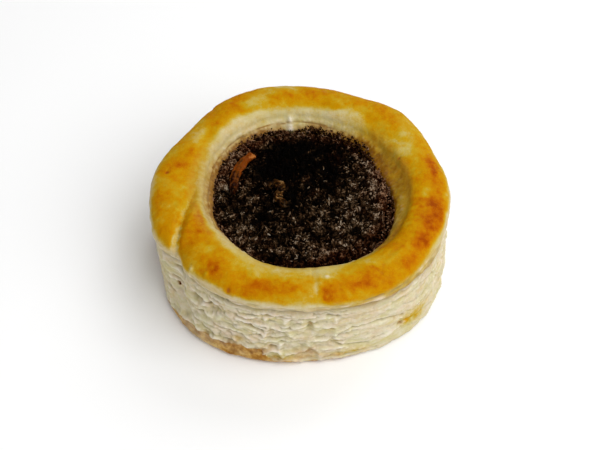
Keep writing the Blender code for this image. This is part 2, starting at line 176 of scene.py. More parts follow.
# Long creases of the side's front right: points of (angle, height), with depth and half-width.
LONG_CREASES = (
    (((-79, 8.3), (-71.5, 11.4), (-56.7, 10.4), (-48.6, 8.4)), 0.55, 0.35),
    (((-78, 7), (-71, 5.2), (-64.5, 4.8), (-58, 5.6)), 0.5, 0.4),
    (((-40, 13.2), (-25, 10.2), (-8, 9)), 0.45, 0.5), (((-66, 15), (-52, 14.2), (-40, 13.2)), 0.3, 0.4),
    (((-52, 15.9), (-37, 15.9), (-24, 13.8), (-8, 13)), 0.45, 0.35),
    (((20, 12), (34, 9.4), (52, 9)), 0.5, 0.4), (((104, 13.6), (118, 12), (136, 12.4)), 0.55, 0.4),
)
SCATTERED_GAPS = 150
SCATTER_SEED = 23
# Between which their angle, height, half-length, depth and rise are drawn. Few are in front,
# where the gaps are the named ones.
GAP_LIMITS = ((-180, 180), (3, 18.5), (0.7, 2.6), (0.5, 1.3), (-0.15, 0.15))
SEEN_ANGLES = (-112, -60)

# Where the base's brown crust climbs the side: high in front left, where it ends at a torn lip.
BAND_HEIGHT = 1.5
BAND_RISES = ((-38, 32, -2.4), (40, 16, 1.6), (120, 20, 1.2), (172, 14, 1.5))
TORN_BAND_RISES = ((-130, 14, 3.3), (-110, 10, 3.4), (-104.5, 2.4, 1.1))
TORN_BAND_END = -100.2
TORN_BAND_FALL = 3.4
CRUST_BROWN = 0.92
FAINT_CRUST = ((-133, 15, 0.3),)
# Brown smears on the side: (angle, height, half-length, half-height, strength).
SMEARS = (
    (-114.5, 6.8, 1.4, 0.9, 0.3), (-112.5, 7.6, 1.8, 0.5, 0.22), (-104.3, 5.2, 1.2, 0.7, 0.7),
    (-101.3, 5.6, 0.8, 0.45, 0.4), (-98.5, 2.2, 2.4, 0.8, 0.4), (-88.5, 4.6, 3, 0.8, 0.7),
    (-87, 6, 1.8, 0.6, 0.4), (-90, 2.4, 3.4, 0.7, 0.55), (-83, 3.7, 3, 0.5, 0.4),
    (-79, 2.6, 4, 0.6, 0.4), (-70, 2.9, 4, 0.6, 0.2),
)
# Gold that has run down the side: (angle, height, half-width in mm, half-height, strength).
SIDE_GOLD = (
    (-48, 6.1, 1.8, 1.2, 0.15), (-45.6, 5.2, 2.5, 1.6, 0.17), (-42.4, 5.2, 2.8, 1.7, 0.17),
    (-44.5, 7.4, 3.6, 1.4, 0.13), (-39.4, 4.9, 2.6, 1.7, 0.15), (-69.5, 3, 4.6, 0.8, 0.24),
    (-113.5, 7.4, 1.3, 0.8, 0.14), (-48, 14.2, 3.4, 0.5, 0.14), (-79, 11.6, 1.6, 0.8, 0.12),
    (-77, 7.8, 1.6, 0.7, 0.12), (-104, 2.6, 8, 0.8, 0.2), (-96, 3.6, 2.6, 1, 0.16),
    (28, 14.5, 3.4, 1.4, 0.35), (96, 6, 4, 1.6, 0.4), (-176, 15.5, 3, 1.4, 0.3),
)

# Dark spots of the side: a few are brown specks of the crust, and those in its gaps, darkest in its hole,
# are painted shade: (angle, height, radius, strength).
SIDE_SPECKS_AND_GAP_SHADE = (
    (-146.6, 10.15, 0.46, 3), (-146, 10.45, 0.4, 3), (-120.6, 15.6, 0.4, 0.7), (-85.5, 13.9, 0.45, 0.4),
    (-50.6, 6.5, 0.55, 0.85), (-49.4, 5.9, 0.5, 0.6), (-52.5, 9, 0.4, 0.35), (-104.3, 5.2, 0.7, 0.45),
    (-117, 5.2, 0.5, 0.45), (-113.8, 6.3, 0.55, 0.4), (-101, 6.4, 0.5, 0.5), (-109.5, 12.6, 1.1, 0.2),
    (-102, 17.2, 0.8, 0.28), (-97, 17, 0.8, 0.28), (-86.3, 14.2, 0.6, 0.35), (-77, 16.8, 0.8, 0.25),
    (-92.4, 8.7, 0.6, 0.22),
)
# Pale flakes that stand out just under the crease, lightened further as a painted highlight: (angle,
# height, half-length, half-height, rise).
PALE_FLAKES = (
    (-45.2, 16.8, 1.5, 0.5, 0.55), (-41, 15.6, 1, 0.5, 0.4), (-30, 15, 1.6, 0.7, 0.4),
    (-56, 5.2, 1.6, 1, 0.35),
)

# The ring: where its gold begins inside and ends outside.
GOLD_INNER_RADIUS = 25.8
GOLD_INNER_BULGES = (
    (75, 26, 2.4), (60, 9, 2.4), (112, 8, 0.3), (122, 28, 3.2), (176, 22, 0.2), (-128, 16, 2),
    (-110, 7, 1.4), (-86, 28, 4.2), (-79, 6, 2.2), (3, 16, 0.7), (-15, 12, 1.2), (25, 9, -1.6),
)
GOLD_INNER_BLEND = 1.7
GOLD_INNER_BLEND_BULGES = ((-85, 40, 2.6), (10, 34, 2.4), (170, 30, 1.2))
GOLD_EDGE_HEIGHT = 22.6
GOLD_EDGE_BULGES = (
    (-143, 9, -0.9), (-124, 7, 0.8), (-89, 10, 0.5), (-56, 12, -0.9), (-29, 10, 0.8), (6, 18, 1),
    (94, 14, 1), (176, 12, 0.9),
)
GOLD_EDGE_BLEND = 1.9
# How far the ring is baked: from 0, pale, past 0.5, golden, to 1, dark brown.
GOLD_TOAST = 0.53
GOLD_TOAST_BULGES = (
    (-42, 22, 0.04), (-8, 22, 0.11), (34, 14, -0.1), (142, 14, -0.04), (-160, 18, 0.02),
)
PALE_TOAST = 0.11
PALE_TOAST_BULGES = (
    (178, 40, 0.09), (-118, 24, 0.1), (-85, 34, 0.13), (8, 36, 0.36), (46, 14, 0.16), (90, 40, 0.05),
)
TORN_TOAST = 0.22
SIDE_TOAST = 0.04
BAND_TOAST = 0.12
BAND_TOAST_BULGES = ((-54, 24, 0.2), (-97, 16, -0.03), (40, 30, 0.1), (150, 20, 0.08))
SLOPE_STAINS = (
    (178, 40, 0.36), (-128, 16, 0.08), (130, 20, 0.06), (-88, 24, 0.5), (16, 32, 0.27), (-38, 24, 0.06),
)
# Painted shade in the crease between the ring and the side.
CREASE_SHADE = (
    (-60, 20, 0.5), (-28, 14, 0.4), (-84, 10, 0.1), (-112, 16, 0.04), (40, 40, 0.2), (140, 30, 0.12),
)
# Darker (+) and paler (-) spots of the ring: (angle, radius, half-length, half-width, toast).
RING_SPOTS = (
    (-172, 35, 3, 1.8, 0.13), (-165, 32, 2.6, 1.6, -0.07), (-158, 27.6, 3.6, 1.3, 0.24),
    (-146, 32.5, 2.2, 3, 0.14), (-138, 27.8, 1.6, 1, 0.14), (-134, 30.5, 2.5, 1.5, -0.09),
    (-128, 34.6, 2.9, 2.2, 0.36), (-121, 30.2, 3.4, 1.3, -0.13), (-120, 34.6, 2.6, 1.6, 0.1),
    (-114, 33.8, 2, 1.6, 0.12), (-109, 31.4, 2.8, 1.2, -0.14), (-107, 34.5, 2.7, 1.7, 0.33),
    (-103, 29, 0.7, 0.7, -0.3), (-99, 34.6, 2.4, 1.4, 0.19), (-95, 31, 2.5, 1, -0.1),
    (-93, 34.4, 2.2, 1.3, 0.18), (-90, 36.3, 3.2, 0.9, -0.14), (-85, 33.2, 1.6, 3, -0.17),
    (-80, 36.6, 1.5, 0.9, 0.24), (-80, 34.6, 1.6, 1.2, 0.22), (-75, 30.9, 4.2, 1.1, -0.15),
    (-67, 34.8, 3.6, 1.7, 0.23), (-56, 35.4, 3.4, 1.4, 0.14), (-50, 30, 3.6, 1, -0.08),
    (-43, 35.6, 3.4, 1.4, 0.15), (-31, 35, 4, 2, 0.28), (-21, 35.6, 3.6, 1.8, 0.2),
    (-18, 32.6, 3.4, 2, 0.14), (-10, 33, 3, 2.4, 0.22), (-5, 31.4, 1.8, 1.7, -0.14),
    (-4, 36.3, 1.8, 0.9, -0.2), (1, 34, 2.4, 1.8, 0.12), (8, 34.4, 3.6, 1.6, 0.24),
    (16, 34.2, 2.2, 1.8, 0.17), (24, 31.6, 3, 1.5, -0.08), (28, 28.8, 4.6, 1.4, -0.16),
    (33, 33, 2.6, 2, -0.07), (46, 32.4, 4.2, 1.6, 0.15), (62, 30.3, 4.2, 1.5, -0.15),
    (67, 31.2, 1, 0.8, 0.1), (70, 33.8, 2.6, 1.3, -0.1), (80, 32.8, 4.4, 1.6, 0.12),
    (93, 31.2, 4, 1.4, 0.15), (97, 35.4, 4, 1.4, -0.24), (102, 30.8, 1.6, 1.2, 0.13),
    (112, 31.2, 3.8, 2, -0.11), (121, 33.2, 3.6, 1.2, 0.12), (131, 31.5, 3.8, 1.2, 0.13),
    (147, 32.8, 3.4, 2.3, -0.19), (159, 31.2, 3, 1.6, 0.24), (168, 32.6, 2.2, 2.2, 0.17),
)
# Small marks on the ring: (x, y, radius, rise, toast).
MARKS = (
    (-33.5, 4.3, 0.45, -0.25, 0.5), (-17.1, -33.5, 0.5, -0.3, 0.45), (25.2, 9.9, 0.35, -0.2, 0.5),
    (6.4, -30.7, 0.6, 0.25, -0.5), (-22.4, -29, 0.6, 0.35, -0.3), (-26.2, -26.6, 0.5, 0.35, -0.3),
    (5, -33, 0.7, 0.15, -0.25),
)
# Raised or sunken lines on the ring: (start, end, half-width, rise, toast).
LINES = (
    ((-30, -19.5), (-30.3, -22.5), 0.45, -0.1, 0.16), ((14, -25.4), (17.6, -26.2), 1.1, 0.08, -0.16),
    ((17.2, -27), (19.6, -29.2), 0.55, -0.14, 0.13), ((19.6, -29.2), (20, -26.6), 0.5, -0.06, 0.08),
    ((3.4, -27), (3.9, -35), 0.6, -0.12, -0.2), ((2.8, -27.4), (2.9, -30.4), 0.3, -0.14, 0.12),
    ((24.6, -22), (21, -26), 0.6, 0.12, -0.1),
)
# Grooves round the well's wall: (height, half-width, depth).
WALL_GROOVES = ((22.4, 0.22, 0.1), (21.1, 0.18, 0.3), (20.3, 0.16, 0.12))
BROWN_LINE_HEIGHT = 21.1
BROWN_LINE_HALF_HEIGHT = 0.16
BROWN_LINE_STRETCHES = ((115, 60, 0.45), (-178, 26, 0.3))
# A tongue of dough that hangs down the wall at the back.
TONGUE = ((95.6, 2.2, 0.85),)
TONGUE_TOP = 23.4
TONGUE_FOOT = 18.4
STAINED_STRETCHES = ((22, 26, 0.26), (-40, 26, 0.3), (-152, 16, 0.14), (176, 32, 0.26))
WALL_STAIN = 0.08
SOAK_HEIGHT = 23.2
CRUMB_STAIN = 0.6
SLOPE_STAIN_RADIUS = 29.0
CREASE_SHADE_HEIGHT = 21.4
MOST_RING_STAIN_AND_SHADE = 0.72
# Where juice has soaked the wall higher, and the well's mouth is eased back to a plain slope.
SAUCY_STRETCH = ((5, 48, 1),)
SAUCY_RISE = 1.6
EASED_HEIGHT = 23.2
EASED_BACK = 1.05
# Where the wall's foot swells over the mince, below a height.
FOOT_BULGES = ((24, 15, 1.4),)
FOOT_HEIGHT = 21.7

# The mince: its surface is relief on the core, and loose shreds lie on top.
FILLING_CELLS = 268
SKIRT_ROWS = 14
CLUMP_LENGTH = 3.6
CLUMP_RISE = 1.0
CLUMP_SEED = 13
CHANNEL_WIDTH = 0.42
THREAD_LENGTHS = (1.9, 0.9)
THREAD_RISES = (0.4, 0.45)
# How much lighter the threads' ridges are: painted highlight.
THREAD_HIGHLIGHTS = (0.3, 0.55)
THREAD_SEED = 43
FINE_GRAIN_LENGTH = 0.62
FINE_GRAIN_RISE = 0.3
FINE_GRAIN_SEED = 9
GRAIN_TONE = 0.7
MEAN_GRAIN = 0.4
# The loose lumps of mince: how knobbly they are, and how much their knobs swell.
LUMP_KNOBS = 1.7
LUMP_SWELL = 0.8
SHREDS = 7000
SHRED_TRIES = 14000
SHRED_SEED = 41
SHRED_SIZES = (0.11, 0.27)
SHRED_STRETCH = ((1.2, 0.5, 0.4), (3.4, 0.9, 0.7))
SHRED_TILT = 0.5
# The most that a loose piece is lit, and how few are.
SHRED_TONING = (1.3, 2.2)
SCRAP_RISE = 1.2
# How likely shreds are on the strip, at its clear and its strewn end, and on the curl.
STREWN_STRIP = (0.03, 0.5)
STREWN_CURL = 0.42
GLINT = 0.45
GLINT_SHARE = 0.05
# Mince that clings to the well's wall, as heights over the filling's top.
FRINGE_TRIES = 8000
FRINGE_SEED = 47
FRINGE_STRETCH = ((0.8, 0.6, 0.6), (1.5, 1.1, 1))
FRINGE_TILT = 0.4
FRINGE_TONING = (1.2, 1.4)
FRINGE_CLIMB = (-0.9, 3.2)
CRUMB_SIZES = (0.14, 0.36)
FRINGE_REACH = 0.3
FRINGE_RISES = (
    (118, 20, 0.9), (78, 11, 0.9), (50, 20, 1.5), (20, 12, 0.5), (95, 4, -1.3), (165, 20, 0.5),
    (-30, 34, -0.2),
)
WALL_LEAN = 0.7
LIT_CRUMBS = ((-42, 30, 0.3), (16, 20, 0.32))
# How dry, brown and pale the mince is: the base, spots as (x, y, radius, change), and its rim.
DRYNESS = 0.455
DRY_LIMITS = (0.02, 0.8)
# How much darker the channels between clumps are, and lighter the clumps' middles: painted shade and light.
CLUMP_CHANNEL_SHADE = (0.42, 1.15)
STREWN_DRYNESS = 0.25
FRINGE_DRYNESS = 0.46
DRY_PATCHES = (
    (16.5, -4, 8, 0.38), (17.5, 9, 5, 0.2), (4, -18.5, 8, 0.16), (-14, -12, 7, 0.14), (-17, 8, 6, 0.12),
    (-6.5, 14, 6.5, -0.38), (-6.5, 4, 5.5, -0.4), (-7.5, -7, 4.2, -0.28), (2, 13.5, 8, -0.36),
    (8, 6, 6, -0.18),
)
PALE_PATCHES = (
    (19.2, 9.4, 1.2, 0.6), (19.4, 6.9, 1.1, 0.6), (18, 3.2, 1.2, 0.45), (20.4, 1.2, 1.3, 0.65),
    (18.9, -3, 1.2, 0.45), (19, -7.4, 1.3, 0.6), (18.1, -10.8, 1.2, 0.5), (14, -7, 2.5, 0.14),
    (6.2, -6, 1.5, 0.3), (4, -8, 1.6, 0.2), (9.7, -10.6, 2, 0.22), (5.8, -17.3, 2, 0.24),
    (10, -16.8, 2.2, 0.22), (-1.1, -5.9, 1.9, 0.26), (-4.5, -10.6, 1.4, 0.3), (-7.3, -4.1, 0.8, 0.6),
    (-11.1, -13.9, 1.9, 0.32), (-13.1, -10, 1.6, 0.28), (-18.3, 3.8, 1.3, 0.36),
    (-16.7, 15.5, 2.2, 0.26),
)
RIM_DRYNESS = (
    (150, 24, 0.3), (112, 18, 0.3), (34, 22, 0.2), (5, 14, 0.3), (-138, 20, 0.3), (-175, 20, 0.3),
)
# Red-brown mince, stained by juice: all round the rim, and in spots as (x, y, radius, strength).
RED_RIM = 0.55
RED_PATCHES = (
    (-18.5, 8, 4, 0.5), (-14, 17.5, 4, 0.4), (21.5, -1, 3.5, 0.8), (20.5, 8, 3.5, 0.7),
    (9, -19, 4, 0.4), (8, 14, 3, 0.4),
)

# --- Layers of noise ---------------------------------------------------------------------------

# Round the case: (strength, length, height, seed).
WALL_WANDER = ((0.35, 9, 50, 4), (0.13, 2.2, 50, 39))
WALL_LUMPS = ((0.13, 1.3, 0.8, 8), (0.2, 4, 2, 9))
WALL_LUMPS_TOP = 22.8
GROOVE_NOISE = ((0.7, 6, 1, 5),)
EDGE_LEAF_PITCH = 0.8
EDGE_LEAF_DEPTH = 0.14
EDGE_LEAF_BEND = ((0.5, 9, 9, 6),)
EDGE_LEAF_NOISE = ((0.3, 3, 0.7, 7),)
BAND_MOTTLE = ((0.06, 3, 0.7, 23),)
SOAK_NOISE = ((0.5, 2.6, 1.5, 14),)
CRUMB_STAIN_NOISE = ((0.5, 3, 1.6, 36), (0.35, 1, 0.7, 24))
SLOPE_STAIN_NOISE = ((0.35, 2.4, 1.4, 49),)
BROWN_LINE_NOISE = ((0.9, 5, 50, 40),)
CREASE_SHADE_NOISE = ((0.6, 2.2, 0.8, 42),)
BLISTER_BEND_ALONG = ((0.3, 5, 5, 31),)
BLISTER_BEND_UP = ((0.3, 6, 5, 32),)
BAND_END_NOISE = ((1.6, 2.4, 1.3, 77), (0.5, 0.7, 0.5, 78))
BAND_EDGE_NOISE = ((0.4, 3.6, 90, 73), (0.13, 1.1, 90, 74))
SIDE_GRAIN = ((0.09, 0.9, 0.6, 71), (0.05, 0.5, 0.35, 72))
CRUST_GRAIN = ((0.2, 2.2, 1.6, 75), (0.1, 0.8, 0.7, 76))
SIDE_MOTTLE = ((0.04, 6, 2, 81), (0.05, 2.5, 0.6, 82))
GOLD_RUN_NOISE = ((0.6, 1.6, 1, 83),)
SMEAR_NOISE = ((0.7, 1.4, 0.8, 88),)
CRUST_MOTTLE = ((0.25, 4, 2, 84),)
SCORCH_NOISE = ((1, 1.5, 9, 87),)
SIDE_TINT_NOISE = ((0.45, 6, 3, 85), (0.4, 2, 0.9, 86))
SKIRT_NOISE = ((0.3, 1.4, 1.2, 27),)
FRINGE_NOISE = ((0.5, 2.4, 1, 36), (0.25, 0.9, 1, 37))

# Of the leaves, whose seeds are their own: (strength, length, height).
LEAF_BEND = ((1.1, 15, 9), (0.35, 4, 3))
LEAF_REACH_NOISE = ((1, 7, 1), (0.5, 2.2, 1))

# Over the plane: (strength, length, seed).
RING_SWELLS = ((0.45, 11, 3),)
CRACK_NOISE = ((0.5, 2.6, 15),)
FOLD_WANDER = ((0.3, 3, 16), (0.12, 1, 17))
TORN_NOISE = ((1.1, 1.8, 41),)
SPOT_WANDER_X = ((1.1, 3, 18), (0.5, 1.2, 19))
SPOT_WANDER_Y = ((1.1, 3, 20), (0.5, 1.2, 21))
SPOT_NOISE = ((0.45, 1.5, 22),)
GOLD_MOTTLE = ((0.09, 8, 11), (0.09, 3.4, 12), (0.07, 1.5, 10))
PALE_MOTTLE = ((0.05, 4, 13),)
SWELLS = ((0.7, 4.4, 23),)
CLUMP_BEND_X = ((0.4, 2.4, 30), (0.5, 6, 47))
CLUMP_BEND_Y = ((0.4, 2.4, 35), (0.5, 6, 48))
DRY_NOISE = ((0.22, 2, 25), (0.24, 5, 46))
PALE_NOISE = ((0.6, 1.1, 29),)
RED_NOISE = ((0.35, 2, 45),)
TORN_EDGE = ((0.3, 1.6, 26),)

# Through space: (strength, length, height, shift).
RING_WRINKLES = ((0.17, 5, 5, 0), (0.08, 2.1, 2.1, 9), (0.03, 0.9, 0.9, 21))
GOLD_RAGS = ((0.5, 3.6, 3.6, 40), (0.22, 1.3, 1, 50))
RING_TINT_NOISE = ((0.4, 5, 2.5, 60),)

# The columns of MARKS and LINES that hold their rise and their toast.
RISE_COLUMN = 3
TOAST_COLUMN = 4


def smooth(value):
    """An S-curve from 0 to 1 as value goes from 0 to 1."""
    value = np.clip(value, 0.0, 1.0)
    return value * value * (3.0 - 2.0 * value)


def up_from(value, start, width):
    """An S-curve from 0 at start to 1 at that width above it."""
    return smooth((value - start) / width)


def down_to(value, end, width):
    """An S-curve from 1 at that width below the end to 0 at the end."""
    return smooth((end - value) / width)


def past(value, edge, width):
    """An S-curve from 0 to 1 over that width, whose middle is at the edge."""
    return smooth((value - edge) / width + 0.5)


def unit(value):
    return np.clip(value, 0.0, 1.0)


def mix(a, b, share):
    return a + (b - a) * share


def bell(distance, half_width):
    return np.exp(-((distance / half_width) ** 2))


def turn_between(a, b):
    """The angle from b to a, between -180 and 180 degrees."""
    return (a - b + 180.0) % 360.0 - 180.0


def angle_of(x, y):
    return np.degrees(np.arctan2(y, x))


def in_plan(angle, radius):
    """x and y of each point from its angle and radius."""
    turn = np.radians(angle)
    return radius * np.cos(turn), radius * np.sin(turn)


def bulge(table, angle=ROUND):
    """The sum of a table's (angle, half-width, size) bells at each angle."""
    return sum(size * bell(turn_between(angle, at), width) for at, width, size in table)


def spots(level, table, turn_radius=None, angle=ROUND):
    """The sum of a table's (angle, level, half-length, half-height, strength) spots at each point.
    Lengths lie on a circle of that radius, or else of the spot's own level."""
    total = 0.0
    for at, middle, long, tall, size in table:
        along = np.radians(turn_between(angle, at)) * (turn_radius or middle)
        total = total + size * bell(along, long) * bell(level - middle, tall)
    return total


def patches(x, y, table):
    """The sum of a table's (x, y, radius, strength) spots at each point."""
    return sum(size * bell(np.hypot(x - at_x, y - at_y), radius) for at_x, at_y, radius, size in table)


# --- Noise, worked out for whole arrays of points ----------------------------------------------

ORDER = np.random.RandomState(5).permutation(256)
SLOPES = np.random.RandomState(6).normal(size=(256, 3))
SLOPES /= np.linalg.norm(SLOPES, axis=1)[:, None]
NOISE_GAIN = 1.7
SEED_STEP = 31.7
LOT_STEPS = (127.1, 311.7, 74.7)
LOT_SCALE = 43758.5453


def waves(x, y, z):
    """Smooth noise, mostly from -1 to 1, whose bumps are one unit long."""
    place = np.broadcast_arrays(x, y, z)
    corner = [np.floor(v).astype(int) for v in place]
    part = [v - c for v, c in zip(place, corner)]
    fade = [p**3 * (p * (6.0 * p - 15.0) + 10.0) for p in part]
    total = np.zeros(place[0].shape)
    for steps in itertools.product((0, 1), repeat=3):
        pick = np.zeros(place[0].shape, int)
        weight = np.ones(place[0].shape)
        for axis, step in enumerate(steps):
            pick = ORDER[(pick + corner[axis] + step) & 255]
            weight = weight * (fade[axis] if step else 1.0 - fade[axis])
        slope = SLOPES[pick]
        reach = sum(slope[..., axis] * (part[axis] - step) for axis, step in enumerate(steps))
        total += weight * reach
    return NOISE_GAIN * total


def around(z, length, height, seed, angle=ROUND):
    """Noise that closes round the case, with bumps of that length and height."""
    turn = np.radians(angle)
    scale = CREASE_RADIUS / length
    return waves(scale * np.cos(turn), scale * np.sin(turn), z / height + SEED_STEP * seed)


def over(x, y, length, seed):
    """Noise over the plane, with bumps of that length."""
    return waves(x / length, y / length, SEED_STEP * seed)


def rough(z, layers, angle=ROUND):
    """The sum of (strength, length, height, seed) layers of noise round the case."""
    return sum(size * around(z, *layer, angle) for size, *layer in layers)


def seeded(layers, seed):
    """Layers with seeds that count up from the first one's."""
    return [(*layer, seed + step) for step, layer in enumerate(layers)]


def rough_over(x, y, layers):
    """The sum of (strength, length, seed) layers of noise over the plane."""
    return sum(size * over(x, y, *layer) for size, *layer in layers)


def rough_through(x, y, z, layers):
    """The sum of (strength, length, height, shift) layers of noise through space."""
    return sum(size * waves(x / long, y / long, z / tall + shift) for size, long, tall, shift in layers)


def lot(i, j, seed):
    """A number from 0 to 1 drawn for a cell."""
    value = np.sin(i * LOT_STEPS[0] + j * LOT_STEPS[1] + seed * LOT_STEPS[2]) * LOT_SCALE
    return value - np.floor(value)


def cells(x, y, seed, wrap=None):
    """Of cells about one unit wide: the distances to the nearest middle and to the next, and the
    nearest cell's own number from 0 to 1. With wrap, that many cells close round in x."""
    first = np.full(np.broadcast(x, y).shape, 9.0)
    second = first.copy()
    own = np.zeros(first.shape)
    for step_x, step_y in itertools.product((-1, 0, 1), repeat=2):
        cell_x = np.floor(x) + step_x
        cell_y = np.floor(y) + step_y
        key = cell_x % wrap if wrap else cell_x
        away = np.hypot(x - cell_x - lot(key, cell_y, seed), y - cell_y - lot(key, cell_y, seed + 1))
        nearer = away < first
        second = np.where(nearer, first, np.minimum(second, away))
        own = np.where(nearer, lot(key, cell_y, seed + 2), own)
        first = np.minimum(first, away)
    return first, second, own


def hollows(relief, reach=3):
    """How far each point of a grid lies below the mean of those about it."""
    mean = relief
    for axis in (0, 1):
        mean = sum(np.roll(mean, step, axis) for step in range(-reach, reach + 1)) / (2 * reach + 1)
    return mean - relief


# --- Lines -------------------------------------------------------------------------------------


def curve_points(line, count):
    """Points, and headings, evenly spread on a smooth curve through a line's points."""
    knots = np.array(line, float)
    share = np.linspace(0.0, len(knots) - 1.0, count)
    span = np.minimum(share.astype(int), len(knots) - 2)
    t = (share - span)[:, None]
    before, start, end, after = (knots[np.clip(span + i, 0, len(knots) - 1)] for i in (-1, 0, 1, 2))
    square = 2 * before - 5 * start + 4 * end - after
    cube = 3 * start - before - 3 * end + after
    point = 0.5 * (2 * start + (end - before) * t + square * t**2 + cube * t**3)
    heading = (end - before) + square * 2 * t + cube * 3 * t**2
    return point, heading / np.linalg.norm(heading, axis=1)[:, None]


def beside_line(x, y, line, samples=72):
    """Of each point in plan: its share along a line, and how far to the line's left (-) or right (+)."""
    point, heading = curve_points(line, samples)
    off_x = np.asarray(x)[..., None] - point[:, 0]
    off_y = np.asarray(y)[..., None] - point[:, 1]
    nearest = np.argmin(off_x**2 + off_y**2, axis=-1)
    off_x = np.take_along_axis(off_x, nearest[..., None], -1)[..., 0]
    off_y = np.take_along_axis(off_y, nearest[..., None], -1)[..., 0]
    turned = heading[nearest, 0] * off_y - heading[nearest, 1] * off_x
    side = np.where(turned < 0.0, 1.0, -1.0)
    return nearest / (samples - 1), side * np.hypot(off_x, off_y)


def off_path(x, y, path):
    """The distance from each point to a path of straight runs."""
    best = np.full(np.broadcast(x, y).shape, 1e9)
    for (x0, y0), (x1, y1) in zip(path, path[1:]):
        run_x, run_y = x1 - x0, y1 - y0
        share = unit(((x - x0) * run_x + (y - y0) * run_y) / (run_x**2 + run_y**2))
        best = np.minimum(best, np.hypot(x - x0 - share * run_x, y - y0 - share * run_y))
    return best


def dense(profile, spacing):
    """A profile's points spread evenly, with its corners a little rounded."""
    knots = np.array(profile, float)
    length = np.concatenate([[0.0], np.cumsum(np.hypot(*np.diff(knots, axis=0).T))])
    at = np.linspace(0.0, length[-1], int(round(length[-1] / spacing)) + 1)
    points = np.stack([np.interp(at, length, knots[:, axis]) for axis in (0, 1)], axis=1)
    for _ in range(2):
        points[1:-1] = 0.5 * points[1:-1] + 0.25 * (points[:-2] + points[2:])
    return points


def arc(centre, half_sizes, start, end, steps=16):
    """Points of an ellipse in the profile's plane, from one angle to another."""
    (x, y), (half_x, half_y) = centre, half_sizes
    turns = np.radians(np.linspace(start, end, steps))
    return [(x + half_x * math.cos(turn), y + half_y * math.sin(turn)) for turn in turns]


def normals(profile):
    """The outward directions of a profile that runs up the well, over the crown and down the side."""
    run = np.gradient(profile, axis=0)
    run /= np.linalg.norm(run, axis=1)[:, None]
    return -run[:, 1:2], run[:, 0:1]


# --- Meshes ------------------------------------------------------------------------------------


def placed(name, data):
    """A new object in the scene."""
    made = bpy.data.objects.new(name, data)
    bpy.context.scene.collection.objects.link(made)
    return made


def piece(name, points, faces, shades, look, slot, *nodes, rounded=True):
    """An object from points in millimetres, with a value a point for each named shade."""
    mesh = bpy.data.meshes.new(name)
    mesh.from_pydata((np.asarray(points).reshape(-1, 3) * MM).tolist(), [], faces)
    for shade, values in shades.items():
        layer = mesh.attributes.new(shade, "FLOAT", "POINT")
        layer.data.foreach_set("value", np.asarray(values, np.float32).ravel())
    turned = bmesh.new()
    turned.from_mesh(mesh)
    bmesh.ops.recalc_face_normals(turned, faces=turned.faces)
    turned.to_mesh(mesh)
    turned.free()
    if rounded:
        mesh.shade_smooth()
    mesh.materials.append(look)
    made = placed(name, mesh)
    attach(made, BODY)
    if nodes:
        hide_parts(*nodes)
    return made


def loft_faces(rows, columns, closed):
    """The faces of a grid whose columns close round: a loop of rows, or a stack with two caps."""
    index = np.arange(rows * columns).reshape(rows, columns)
    below = index if closed else index[:-1]
    above = np.roll(index, -1, 0) if closed else index[1:]
    quads = np.stack([below, np.roll(below, -1, 1), np.roll(above, -1, 1), above], -1)
    faces = quads.reshape(-1, 4).tolist()
    return faces if closed else faces + [index[0].tolist(), index[-1].tolist()]


def grid_points(angle, radius, height):
    radius, height = np.broadcast_arrays(radius, height)
    return np.stack([*in_plan(angle, radius), height], -1)


def case_shift(radius, height):
    """How far the case's uneven outlines move a point in or out."""
    outer = mix(bulge(BASE_BULGES), bulge(RING_BULGES), smooth(height / RING_EDGE_HEIGHT))
    outside = smooth((radius - WELL_RADIUS) / (CREASE_RADIUS - WELL_RADIUS))
    inner = bulge(WELL_BULGES) * np.minimum(radius / WELL_RADIUS, 1.0)
    return mix(inner, outer, outside)


def foot(height, angle=ROUND):
    """How far the foot of the well's wall swells inwards."""
    return bulge(FOOT_BULGES, angle) * down_to(height, FOOT_HEIGHT, 2.0)


def cling_height(angle=ROUND):
    """How high the mince clings to the well's wall, by and large."""
    return FILLING_TOP + FRINGE_REACH + bulge(FRINGE_RISES, angle)


# --- The ring ----------------------------------------------------------------------------------


def ring_profile():
    """Round the ring: up the well's wall, over the crown, down to the crease and back inside."""
    seam = [(SEAM_OUTER_RADIUS, CREASE_HEIGHT), (SEAM_INNER_RADIUS, SEAM_INNER_HEIGHT)]
    wall = [
        seam[1],
        (WELL_RADIUS, WELL_SHOULDER_HEIGHT),
        (mix(WELL_RADIUS, WELL_MOUTH_RADIUS, 0.4), mix(WELL_SHOULDER_HEIGHT, WELL_MOUTH_HEIGHT, 0.5)),
    ]
    inner_half = (CROWN_RADIUS - WELL_MOUTH_RADIUS, CROWN_HEIGHT - WELL_MOUTH_HEIGHT)
    outer_half = (RING_RADIUS - CROWN_RADIUS, CROWN_HEIGHT - RING_EDGE_HEIGHT)
    inner = arc((CROWN_RADIUS, WELL_MOUTH_HEIGHT), inner_half, 180, 90)
    outer = arc((CROWN_RADIUS, RING_EDGE_HEIGHT), outer_half, 90, 0)
    edge = [
        (RING_RADIUS, mix(RING_EDGE_HEIGHT, CREASE_HEIGHT, 0.4)),
        (mix(RING_RADIUS, CREASE_RADIUS, 0.5), mix(RING_EDGE_HEIGHT, CREASE_HEIGHT, 0.8)),
        seam[0],
    ]
    shown = dense(wall + inner + outer[1:] + edge, RING_SPACING)
    return np.concatenate([shown, dense(seam, HIDDEN_SPACING)[1:-1]]), len(shown)


